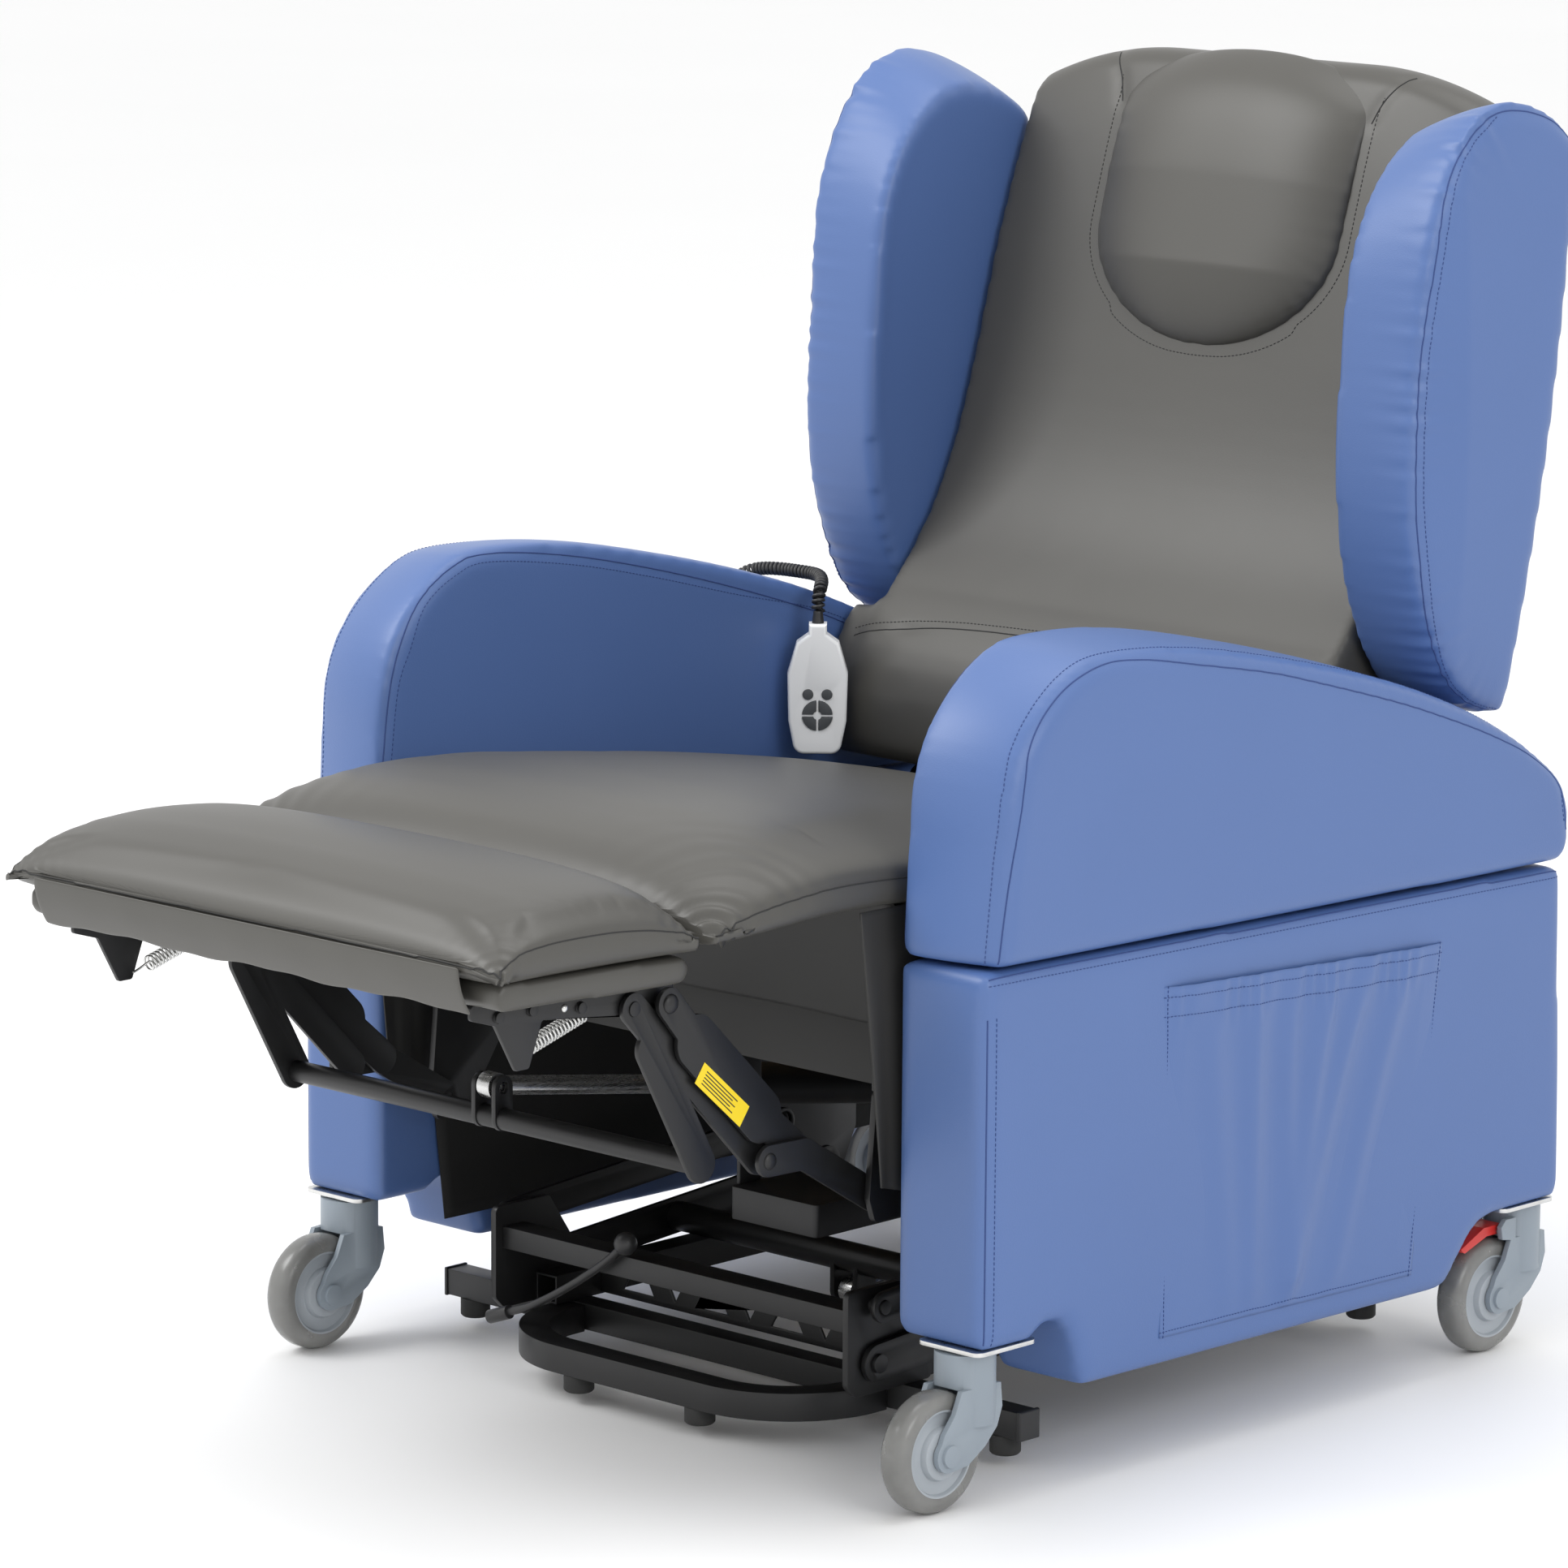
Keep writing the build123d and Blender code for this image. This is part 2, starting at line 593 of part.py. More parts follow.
def head_pillow():
    """Padded head pillow sewn over the top of the cushion, down to a round end."""
    front = Spline((712, 842), (700, 880), (732, 1000), (766, 1080), (800, 1096), (826, 1090))
    inner = Polyline((826, 1090), (820, 1070), (740, 880), (724, 842), (712, 842))
    save("head_pillow", plate(make_face(front + inner), (-138, 138)) - cushion_body())


def wing():
    """Padded wing beside the head, deepest above the middle and pointed at the bottom."""
    low = [(706, 556), (654, 572), (608, 636), (584, 740), (587, 880)]
    high = [(614, 1010), (672, 1076), (732, 1076), (786, 1046)]
    front = Spline(*low, *high)
    rear = Polyline((786, 1046), (790, 1036), (714, 560), (706, 556))
    return plate(make_face(front + rear), (266, 352))


def wings():
    save("wing_left", wing())
    save("wing_right", other_side(wing()))


# ---- castors ----
def ring(profile):
    """A solid turned about the wheel's axle, from (x, radius) corners."""
    return revolve(make_face(Polyline(*profile, close=True)), axis=Axis.X)


def castor_wheel():
    """Plastic rim and hub with its bonded tyre, centred on the axle."""
    tyre = ring([(-13, 37), (-13, 43), (-9, 48), (-4, WHEEL_R), (4, WHEEL_R), (9, 48), (13, 43), (13, 37)])
    bore, hub = AXLE_R + RUNNING, 18
    side = [(13, 37), (12, 30), (8, 29), (8, 20), (WHEEL_HALF, hub), (WHEEL_HALF, bore)]
    rim = ring([*side, *[(-x, r) for x, r in reversed(side)]])
    return Compound(children=[*tyre.solids(), *rim.solids()])


def castor_fork(braked):
    """Moulded fork about its axle, with stem, axle and end caps; braked ones reach forward."""
    top, clear = 127.0 - WHEEL_R, WHEEL_R + 2
    space = across((0, 0), clear, (-16, 16))
    housing = Pos(0, TRAIL, (top + 18) / 2) * Cylinder(25, top - 18)
    stem = Pos(0, TRAIL, top + 2.5) * Cylinder(AXLE_R, 5)
    rear_edge = [(62, 30), (56, 14), (42, 0), (22, -12)]
    front_edge = [(0, -14), (-13, 2), (-6, 18), (6, 32)]
    cheek = outline((14, 50), (60, 50), *rear_edge, *front_edge) + Circle(14)
    cheeks = both(plate(cheek, (16, 21)))
    axle = across((0, 0), AXLE_R, (-21, 21)) + both(across((0, 0), 9, (21, 24)))
    body = (housing - space) + cheeks + stem + axle
    if braked:
        jaw = outline((20, 68), (20, 48), (2, 51), (0, 62), (6, 68))
        body += both(plate(jaw, (16, 21))) + across((6, 57), 2.5, (-21, 21))
    return body


def brake_pedal():
    """Red foot pedal on the rear castors, above the tyre."""
    body = plate(outline((11, 63), (11, 55), (-10, 55), (-40, 45), (-46, 49), (-14, 63)), (-13, 13))
    return fillet(body.edges().filter_by(Axis.X), 1.2) - across((6, 57), 2.5 + RUNNING, (-14, 14))


def castors():
    for end, y in (("front", CASTOR_FRONT_Y), ("rear", CASTOR_REAR_Y)):
        for side, x in (("left", CASTOR_X), ("right", -CASTOR_X)):
            place = Pos(x, y - TRAIL, WHEEL_R)
            save(f"castor_{end}_{side}_fork", place * castor_fork(end == "rear"))
            save(f"castor_{end}_{side}_wheel", place * castor_wheel())
            if end == "rear":
                save(f"brake_pedal_{side}", place * brake_pedal())


# ---- handset ----
HANDSET_AT = (-268.0, 512.0, 466.0)
HANDSET_TURN = 43.0
HANDSET_THICK = 22.0
KEY_DEEP = 5.0
KEY_PROUD = 1.6
KEY_SLACK = 0.3


def key_shapes():
    """Two round keys above four quadrant keys, drawn on the handset's face."""
    keys = [Pos(side * 8.5, 54) * Circle(4.6) for side in (-1, 1)]
    dial = Pos(0, 35) * (Circle(13.5) - Circle(4))
    for across_way in (-1, 1):
        for up_way in (1, -1):
            corner = Pos(across_way * 9.2, 35 + up_way * 9.2) * Rectangle(16, 16)
            keys.append(dial & corner)
    return keys


def on_handset(shape):
    x, y, z = HANDSET_AT
    return Pos(x, y, z) * Rot(0, 0, HANDSET_TURN) * shape


def handset():
    shape = Polyline(
        (-20, 0), (20, 0), (26, 30), (27, 72), (19, 100), (8, 108), (8, 117),
        (-8, 117), (-8, 108), (-19, 100), (-27, 72), (-26, 30), close=True,
    )
    face = make_face(shape)
    face = fillet(face.vertices().group_by(Axis.Y)[0], 10)
    front = -HANDSET_THICK / 2
    body = extrude(Plane.XZ.offset(front) * face, amount=HANDSET_THICK)
    body = fillet(body.faces().sort_by(Axis.Y)[0].edges() + body.faces().sort_by(Axis.Y)[-1].edges(), 3)
    for number, key in enumerate(key_shapes(), start=1):
        pocket = extrude(Plane.XZ.offset(-front - KEY_DEEP) * offset(key, KEY_SLACK), amount=KEY_DEEP + 1)
        body -= pocket
        cap = extrude(Plane.XZ.offset(-front - KEY_DEEP + 1.2) * key, amount=KEY_DEEP - 1.2 + KEY_PROUD)
        save(f"handset_key_{number}", on_handset(cap))
    save("handset", on_handset(body))


# ---- handset cord ----
CORD_R = 6.5
RELIEF_TOP = 594.0
CORD_ROUTE = [
    (-268, 512, 594),
    (-268, 512, 605),
    (-272, 519, 613),
    (-281, 531, 618),
    (-297, 543, 620),
    (-325, 549, 619),
    (-357, 551, 618),
    (-382, 551, 615),
    (-400, 550, 608),
    (-411, 548, 595),
    (-417, 545, 573),
    (-421, 541, 547),
    (-420, 538, 513),
    (-420, 536, 482),
    (-418, 536, 463),
    (-412, 535, 450),
    (-404, 534, 444),
]


def cord_glands():
    """Ribbed sleeve on the handset and the plain gland in the seam of the right arm."""
    x, y, z = HANDSET_AT
    neck = z + 117
    sleeve = Pos(x, y, (neck + RELIEF_TOP) / 2) * Cone(5.5, 4, RELIEF_TOP - neck)
    first, second = Vector(*CORD_ROUTE[-1]), Vector(*CORD_ROUTE[-2])
    out = (first - second).normalized()
    ferrule = extrude(Plane(origin=first, z_dir=out) * Circle(5), amount=8)
    plug = Pos(-PANEL_OUT - 1.5, first.Y, first.Z - 3) * Rot(0, 90, 0) * Cylinder(9, 3)
    save("cord_glands", sleeve, (plug + ferrule) - plug_trim())


def plug_trim():
    """Everything inside the arm's outer face, so that the gland only touches it."""
    return block((-PANEL_OUT, 0), (400, 700), (400, 500))


def handset_cord():
    """Curly cord as its outer tube: over the arm and down its outer face."""
    save("handset_cord", tube_along(CORD_ROUTE, CORD_R))


def control_box():
    """Control box under the seat, with a strap up to the frame and the mains inlet in its rear."""
    box = fillet(block((20, 120), (104, 190), (160, 188)).edges().filter_by(Axis.Z), 5)
    strap = block((20, 24), (112, 138), (188, 345))
    inlet = block((50, 78), (190, 194), (164, 184))
    save("control_box", box, strap, inlet)


def build():
    base_frame()
    base_front_loop()
    base_tower()
    base_lattice()
    base_end_caps()
    base_feet()
    base_lead()
    lift_lower_arms()
    lift_upper_arms()
    lift_actuator()
    seat_frame()
    seat_deck()
    castor_plates()
    panels_and_arms()
    side_pocket()
    rear_panel()
    seat_valance()
    seat_cushion()
    knee_cover()
    legrest_board()
    legrest_pillow()
    legrest_brackets()
    legrest_springs()
    link_lower()
    link_wide()
    link_second()
    leg_actuator()
    back_actuator()
    back_frame()
    back_cover()
    back_cushion()
    head_pillow()
    wings()
    castors()
    handset()
    cord_glands()
    handset_cord()
    control_box()


build()
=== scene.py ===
import json
from math import cos, pi, radians, sin

import bmesh
import bpy
from mathutils import Matrix, Vector
from mathutils.bvhtree import BVHTree
from mathutils.kdtree import KDTree


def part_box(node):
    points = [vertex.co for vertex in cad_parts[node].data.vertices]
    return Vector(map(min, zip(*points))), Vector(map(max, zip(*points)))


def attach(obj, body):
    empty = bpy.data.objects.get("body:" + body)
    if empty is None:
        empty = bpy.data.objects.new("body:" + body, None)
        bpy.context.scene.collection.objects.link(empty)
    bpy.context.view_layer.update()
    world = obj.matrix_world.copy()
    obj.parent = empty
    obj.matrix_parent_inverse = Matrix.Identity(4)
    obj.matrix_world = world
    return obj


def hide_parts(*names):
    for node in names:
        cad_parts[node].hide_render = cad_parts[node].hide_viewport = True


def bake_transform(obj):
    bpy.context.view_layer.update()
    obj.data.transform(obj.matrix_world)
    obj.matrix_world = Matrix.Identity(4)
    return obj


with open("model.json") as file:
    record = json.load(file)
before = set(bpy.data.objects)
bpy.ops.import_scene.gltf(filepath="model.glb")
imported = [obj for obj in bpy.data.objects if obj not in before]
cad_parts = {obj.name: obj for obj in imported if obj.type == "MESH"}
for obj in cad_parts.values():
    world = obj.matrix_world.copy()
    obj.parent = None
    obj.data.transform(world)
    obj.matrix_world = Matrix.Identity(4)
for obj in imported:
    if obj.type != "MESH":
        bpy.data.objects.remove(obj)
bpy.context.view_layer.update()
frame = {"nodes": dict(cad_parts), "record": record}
nodes = frame["nodes"]

# ---- Camera, floor and light ----
# The chair stands on a pale studio floor. The camera looks at its front left corner from just
# above the arms, with a long lens.
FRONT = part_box("side_panel_left")[0].y * 1000 - 3.0


def at(x, y, z):
    """A point of the chair in millimetres: x from the middle, y from the panels' front, z from the floor."""
    return Vector((x, y + FRONT, z)) / 1000


def aimed(turn, lift, roll):
    """Right, up and backward directions of a camera, from its angles in degrees."""
    turn, lift, roll = radians(turn), radians(lift), radians(roll)
    back = Vector((sin(turn) * cos(lift), -cos(turn) * cos(lift), sin(lift)))
    level = Vector((cos(turn), sin(turn), 0))
    upright = back.cross(level)
    return cos(roll) * level + sin(roll) * upright, cos(roll) * upright - sin(roll) * level, back


right, up, back = aimed(43.61, 10.72, 0.34)
AIM = at(0, 350, 600)
CAMERA_AWAY = 6.36484
CAMERA_LEFT = 0.11238
CAMERA_DOWN = 0.10361
lens = bpy.data.cameras.new("camera")
lens.sensor_width = 36.0
lens.lens = 171.65
lens.clip_end = 200.0
camera = bpy.data.objects.new("camera", lens)
place = Matrix((right, up, back)).transposed().to_4x4()
place.translation = AIM + back * CAMERA_AWAY - right * CAMERA_LEFT - up * CAMERA_DOWN
camera.matrix_world = place
bpy.context.scene.collection.objects.link(camera)
bpy.context.scene.camera = camera
bpy.context.scene.view_settings.view_transform = "Standard"

bpy.ops.mesh.primitive_plane_add(size=90.0)
floor = bpy.context.object
floor.name = "floor"


class Wire:
    """A shader socket that takes arithmetic, and adds any other node by name."""

    def __init__(self, tree, socket):
        self.tree = tree
        self.socket = socket

    def math(self, operation, *others):
        return node(self.tree, "ShaderNodeMath", self, *others, operation=operation)

    def __add__(self, other):
        return self.math("ADD", other)

    def __mul__(self, other):
        return self.math("MULTIPLY", other)


def node(tree, kind, *values, output=0, **settings):
    """Adds a node, sets its properties, feeds its inputs in order or by name, and wraps one output."""
    made = tree.nodes.new(kind)
    inputs = settings.pop("inputs", {})
    for name, value in settings.items():
        setattr(made, name, value)
    for socket, value in [*zip(made.inputs, values), *[(made.inputs[key], inputs[key]) for key in inputs]]:
        if isinstance(value, Wire):
            tree.links.new(value.socket, socket)
        elif value is not None:
            socket.default_value = value
    return Wire(tree, made.outputs[output])


def finish(name, **fixed):
    """A new material's tree, its shader and object coordinates, with constants on the shader's sockets."""
    material = bpy.data.materials.new(name)
    material.use_nodes = True
    tree = material.node_tree
    shader = tree.nodes["Principled BSDF"]
    for socket, value in fixed.items():
        shader.inputs[socket.replace("_", " ")].default_value = value
    coordinates = node(tree, "ShaderNodeTexCoord", output="Object")
    return material, tree, shader, coordinates


def feed(shader, socket, wire):
    shader.id_data.links.new(wire.socket, shader.inputs[socket])


def noise(tree, place, scale, detail=3.0, rough=0.5):
    inputs = {"Vector": place, "Scale": scale, "Detail": detail, "Roughness": rough}
    return node(tree, "ShaderNodeTexNoise", inputs=inputs)


def blend_colours(tree, amount, first, second):
    mix = node(tree, "ShaderNodeMix", output=2, data_type="RGBA")
    made = mix.socket.node
    tree.links.new(amount.socket, made.inputs[0])
    made.inputs[6].default_value = (*first, 1)
    made.inputs[7].default_value = (*second, 1)
    return mix


def bump(tree, shader, height, strength, distance):
    lift = node(tree, "ShaderNodeBump", inputs={"Strength": strength, "Distance": distance, "Height": height})
    feed(shader, "Normal", lift)


studio, tree, shader, spot = finish("studio_floor", Roughness=0.6)
feed(shader, "Base Color", blend_colours(tree, noise(tree, spot, 0.8), (0.9, 0.9, 0.9), (0.93, 0.93, 0.93)))
floor.data.materials.append(studio)

world = bpy.data.worlds.new("studio")
bpy.context.scene.world = world
world.use_nodes = True
world.node_tree.nodes["Background"].inputs[0].default_value = (1.0, 1.0, 1.0, 1)
world.node_tree.nodes["Background"].inputs[1].default_value = 1.05


def softbox(name, place, size, power):
    """A square lamp that faces the seat."""
    lamp = bpy.data.lights.new(name, "AREA")
    lamp.shape = "SQUARE"
    lamp.size = size
    lamp.energy = power
    box = bpy.data.objects.new(name, lamp)
    box.location = place
    box.rotation_euler = (Vector((0, 0, 0.6)) - Vector(place)).to_track_quat("-Z", "Y").to_euler()
    bpy.context.scene.collection.objects.link(box)


softbox("key", (-2.2, -2.4, 3.6), 2.0, 95)
softbox("side", (4.4, -1.2, 2.4), 2.0, 45)
softbox("top", (0.2, 0.4, 4.4), 2.4, 45)

# ---- Curly handset cord ----
# A thin black polyurethane lead wound into a spring. It leaves the handset's sleeve, arches over
# the right arm and hangs to a gland low on the arm's outer face.
COIL_RADIUS = 4.6
WIRE_RADIUS = 1.75
COIL_PITCH = 4.8
CORD_ROUTE = [
    (-268, 512, 594),
    (-268, 512, 605),
    (-272, 519, 613),
    (-281, 531, 618),
    (-297, 543, 620),
    (-325, 549, 619),
    (-357, 551, 618),
    (-382, 551, 615),
    (-400, 550, 608),
    (-411, 548, 595),
    (-417, 545, 573),
    (-421, 541, 547),
    (-420, 538, 513),
    (-420, 536, 482),
    (-418, 536, 463),
    (-412, 535, 450),
    (-404, 534, 444),
]


def put(name, data, material):
    """Adds a mesh or curve to the scene under one material."""
    piece = bpy.data.objects.new(name, data)
    bpy.context.scene.collection.objects.link(piece)
    if material is not None:
        data.materials.append(material)
    return piece


def spline_curve(name, lines, radius, smooth=True):
    """A curve with one spline for each line of points in metres, as a round wire of that radius."""
    curve = bpy.data.curves.new(name, "CURVE")
    curve.dimensions = "3D"
    curve.bevel_depth = radius
    curve.bevel_resolution = 3
    curve.use_fill_caps = radius > 0
    for line in lines:
        spline = curve.splines.new("NURBS" if smooth else "POLY")
        spline.points.add(len(line) - 1)
        for point, place in zip(spline.points, line):
            point.co = (*place, 1)
        if smooth:
            spline.order_u = 3
            spline.use_endpoint_u = True
    return curve


def plain_mesh(piece):
    """The piece's evaluated shape as a plain mesh."""
    bpy.context.view_layer.update()
    shown = piece.evaluated_get(bpy.context.evaluated_depsgraph_get())
    return bpy.data.meshes.new_from_object(shown)


def read_line(points):
    """Points along the smooth spline of a route, in metres."""
    guide = put("guide", spline_curve("guide", [points], 0), None)
    guide.data.splines[0].resolution_u = 24
    mesh = plain_mesh(guide)
    line = [vertex.co.copy() for vertex in mesh.vertices]
    bpy.data.objects.remove(guide)
    return line


def helix(line, radius, pitch, per_turn=14):
    """Points of a coil wound round a line, on a frame that is carried along it without twist."""
    side = (line[1] - line[0]).orthogonal().normalized()
    angle, coil = 0.0, []
    for here, after in zip(line, line[1:]):
        ahead = (after - here).normalized()
        side = (side - ahead * side.dot(ahead)).normalized()
        other = ahead.cross(side)
        steps = max(1, round((after - here).length / pitch * per_turn))
        for step in range(steps):
            spot_on_line = here.lerp(after, step / steps)
            coil.append(spot_on_line + radius * (cos(angle) * side + sin(angle) * other))
            angle += 2 * pi / per_turn
    return coil


sheath, tree, shader, spot = finish("cord_sheath", Roughness=0.42)
grime = noise(tree, spot, 90, 4.0)
feed(shader, "Base Color", blend_colours(tree, grime, (0.012, 0.012, 0.013), (0.03, 0.03, 0.031)))
bump(tree, shader, noise(tree, spot, 1600), 0.15, 0.0002)

centre = read_line([at(*point) for point in CORD_ROUTE])
coil = helix(centre, COIL_RADIUS / 1000, COIL_PITCH / 1000)
wire_length = sum((b - a).length for a, b in zip(coil, coil[1:])) * 0.985
cord_curve = spline_curve("handset_cord_coil", [coil], WIRE_RADIUS / 1000)
cord_curve.splines[0].resolution_u = 2
handset_cord = put("handset_cord_coil", cord_curve, sheath)
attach(handset_cord, "chair_frame")
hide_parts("handset_cord")


def dressed(name, material, bevel=0.0, sharp=35):
    """A CAD node's shape, welded, with small bevels on its edges and smooth shading between them."""
    mesh = nodes[name].data.copy()
    mesh.materials.clear()
    piece = put(f"{name}_finished", mesh, material)
    shape = bmesh.new()
    shape.from_mesh(mesh)
    bmesh.ops.remove_doubles(shape, verts=shape.verts, dist=0.00002)
    bmesh.ops.dissolve_limit(shape, angle_limit=radians(0.6), verts=shape.verts, edges=shape.edges)
    if bevel:
        closed = [edge for edge in shape.edges if edge.is_manifold]
        edges = [edge for edge in closed if edge.calc_face_angle(0) > radians(sharp)]
        bmesh.ops.bevel(
            shape, geom=edges, offset=bevel / 1000, segments=2, affect="EDGES", profile=0.6,
            clamp_overlap=True,
        )
    shape.to_mesh(mesh)
    shape.free()
    for face in mesh.polygons:
        face.use_smooth = True
        face.material_index = 0
    mesh.set_sharp_from_angle(angle=radians(sharp))
    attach(piece, body_of[name])
    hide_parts(name)
    return piece


bodies_of_chair = frame["record"]["behaviour"]["bodies"]
body_of = {member: body for body, members in bodies_of_chair.items() for member in members}

glands = dressed("cord_glands", sheath, 0.3)

# ---- Base frame, lift arms and seat frame ----
# Square steel tube and pressed plate, welded and powder coated black. The front loop is bent
# tube, the towers carry the lift arms, and rubber feet take the load when the chair rises.
black_coat, tree, shader, spot = finish("black_powder_coat", Roughness=0.42, Metallic=0.0)
peel = noise(tree, spot, 700, 2.0)
dust = noise(tree, spot, 14, 6.0, 0.65)
feed(shader, "Base Color", blend_colours(tree, dust, (0.004, 0.004, 0.0045), (0.011, 0.011, 0.0115)))
feed(shader, "Roughness", dust * 0.25 + 0.3)
bump(tree, shader, peel, 0.12, 0.0003)

for name in (
    "base_frame", "base_front_loop", "base_tower", "base_lattice", "lift_lower_arms", "lift_upper_arms"
):
    dressed(name, black_coat, 1.0)
for name in ("seat_frame", "back_frame"):
    dressed(name, black_coat, 0.8)

rubber, tree, shader, spot = finish("black_rubber", Roughness=0.75)
scuff = noise(tree, spot, 60, 5.0)
feed(shader, "Base Color", blend_colours(tree, scuff, (0.01, 0.01, 0.01), (0.035, 0.035, 0.034)))
bump(tree, shader, noise(tree, spot, 900), 0.3, 0.0003)
dressed("base_feet", rubber, 0.8)
dressed("base_lead", sheath, 0.3)

moulded, tree, shader, spot = finish("black_moulding", Roughness=0.5)
spark = noise(tree, spot, 1500, 2.0)
shade = blend_colours(tree, noise(tree, spot, 25), (0.012, 0.012, 0.013), (0.02, 0.02, 0.021))
feed(shader, "Base Color", shade)
bump(tree, shader, spark, 0.2, 0.0002)
dressed("base_end_caps", moulded, 0.6)
dressed("control_box", moulded, 1.2)

ply, tree, shader, spot = finish("birch_ply", Roughness=0.65)
bands = node(
    tree, "ShaderNodeTexWave", bands_direction="Y",
    inputs={"Vector": spot, "Scale": 18, "Distortion": 6, "Detail": 3}
)
feed(shader, "Base Color", blend_colours(tree, bands, (0.5, 0.34, 0.19), (0.6, 0.44, 0.27)))
bump(tree, shader, bands, 0.1, 0.0004)
dressed("seat_deck", ply, 0.5)

# ---- Actuators ----
# Three linear actuators: dark housings over ground steel rods. One lifts, one reclines the back
# and one folds the legrest.
housing, tree, shader, spot = finish("motor_housing", Roughness=0.45)
shade = blend_colours(tree, noise(tree, spot, 20), (0.006, 0.006, 0.0065), (0.012, 0.012, 0.013))
feed(shader, "Base Color", shade)
bump(tree, shader, noise(tree, spot, 1200), 0.2, 0.0002)
steel, tree, shader, spot = finish("ground_steel", Metallic=1.0)
brush = node(tree, "ShaderNodeMapping", spot, inputs={"Scale": (1, 0.05, 1)})
lines = noise(tree, brush, 900, 2.0)
feed(shader, "Base Color", blend_colours(tree, lines, (0.5, 0.5, 0.5), (0.66, 0.66, 0.65)))
feed(shader, "Roughness", lines * 0.2 + 0.18)
for drive in ("lift", "recline", "legrest"):
    dressed(f"{drive}_motor", housing, 0.8)
    dressed(f"{drive}_rod", steel, 0.4)

# ---- Legrest mechanism ----
# Pressed black links in layers on steel rivets, an angle bracket under each side of the board,
# and a zinc-plated extension spring beside each bracket.
zinc, tree, shader, spot = finish("zinc_plate", Metallic=1.0)
cloud = noise(tree, spot, 70, 5.0)
feed(shader, "Base Color", blend_colours(tree, cloud, (0.55, 0.55, 0.53), (0.78, 0.78, 0.77)))
feed(shader, "Roughness", cloud * 0.25 + 0.18)
dressed("castor_plates", zinc, 0.4)
for name in ("legrest_brackets", "legrest_lower_links", "legrest_wide_links", "legrest_second_links"):
    dressed(name, black_coat, 0.7)

SPRING_HOOK = (219, -345, 402)
SPRING_TOP = (219, -252, 429)
SPRING_RADIUS = 6.2
SPRING_WIRE = 0.95


def spring(side):
    """Hook, close-wound coil and hook, on a line from the bracket to the board."""
    first, last = (at(side * x, y, z) for x, y, z in (SPRING_HOOK, SPRING_TOP))
    start, stop = first.lerp(last, 0.17), first.lerp(last, 0.83)
    line = [start.lerp(stop, step / 40) for step in range(41)]
    turns = helix(line, SPRING_RADIUS / 1000, 0.0036, 12)
    return [first, first.lerp(last, 0.08), *turns, first.lerp(last, 0.92), last]


spring_curve = spline_curve("springs", [spring(-1), spring(1)], SPRING_WIRE / 1000)
springs = put("legrest_spring_coils", spring_curve, zinc)
springs.data.bevel_resolution = 1
springs.data.resolution_u = 2
springs.data.materials.clear()
spring_mesh = plain_mesh(springs)
bpy.data.objects.remove(springs)
springs = put("legrest_spring_coils", spring_mesh, zinc)
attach(springs, "legrest")
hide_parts("legrest_springs")


def rivet_tree():
    """Domed heads on points: inputs for head radius and material."""
    tree = bpy.data.node_groups.new("domed_heads", "GeometryNodeTree")
    face = tree.interface
    face.new_socket("Points", in_out="INPUT", socket_type="NodeSocketGeometry")
    face.new_socket("Head radius", in_out="INPUT", socket_type="NodeSocketFloat")
    face.new_socket("Head height", in_out="INPUT", socket_type="NodeSocketFloat")
    face.new_socket("Finish", in_out="INPUT", socket_type="NodeSocketMaterial")
    face.new_socket("Heads", in_out="OUTPUT", socket_type="NodeSocketGeometry")
    start = tree.nodes.new("NodeGroupInput")
    end = tree.nodes.new("NodeGroupOutput")
    dome = tree.nodes.new("GeometryNodeMeshUVSphere")
    dome.inputs["Segments"].default_value = 20
    dome.inputs["Rings"].default_value = 10
    dome.inputs["Radius"].default_value = 1.0
    size = tree.nodes.new("ShaderNodeCombineXYZ")
    on_points = tree.nodes.new("GeometryNodeInstanceOnPoints")
    solid = tree.nodes.new("GeometryNodeRealizeInstances")
    coat = tree.nodes.new("GeometryNodeSetMaterial")
    link = tree.links.new
    link(start.outputs["Points"], on_points.inputs["Points"])
    link(dome.outputs["Mesh"], on_points.inputs["Instance"])
    link(start.outputs["Head height"], size.inputs["X"])
    link(start.outputs["Head radius"], size.inputs["Y"])
    link(start.outputs["Head radius"], size.inputs["Z"])
    link(size.outputs[0], on_points.inputs["Scale"])
    link(on_points.outputs["Instances"], solid.inputs["Geometry"])
    link(solid.outputs["Geometry"], coat.inputs["Geometry"])
    link(start.outputs["Finish"], coat.inputs["Material"])
    link(coat.outputs["Geometry"], end.inputs["Heads"])
    return tree


def through_tree(name, data, tree, **sizes):
    """Runs a node tree on a mesh or curve with its named inputs set, and keeps the plain mesh."""
    carrier = bpy.data.objects.new(name, data)
    bpy.context.scene.collection.objects.link(carrier)
    modifier = carrier.modifiers.new(name, "NODES")
    modifier.node_group = tree
    for item in tree.interface.items_tree:
        key = item.name.replace(" ", "_").lower()
        if item.in_out == "INPUT" and key in sizes:
            modifier[item.identifier] = sizes[key]
    mesh = plain_mesh(carrier)
    bpy.data.objects.remove(carrier)
    made = bpy.data.objects.new(name, mesh)
    bpy.context.scene.collection.objects.link(made)
    for face in mesh.polygons:
        face.use_smooth = True
    return made


domed_heads = rivet_tree()


def rivets(name, body, places, radius, height, material):
    """Domed heads at points on both sides of the chair."""
    mesh = bpy.data.meshes.new(name)
    mesh.from_pydata([at(side * x, y, z) for x, y, z in places for side in (-1, 1)], [], [])
    sizes = {"head_radius": radius / 1000, "head_height": height / 1000, "finish": material}
    heads = through_tree(name, mesh, domed_heads, **sizes)
    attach(heads, body)


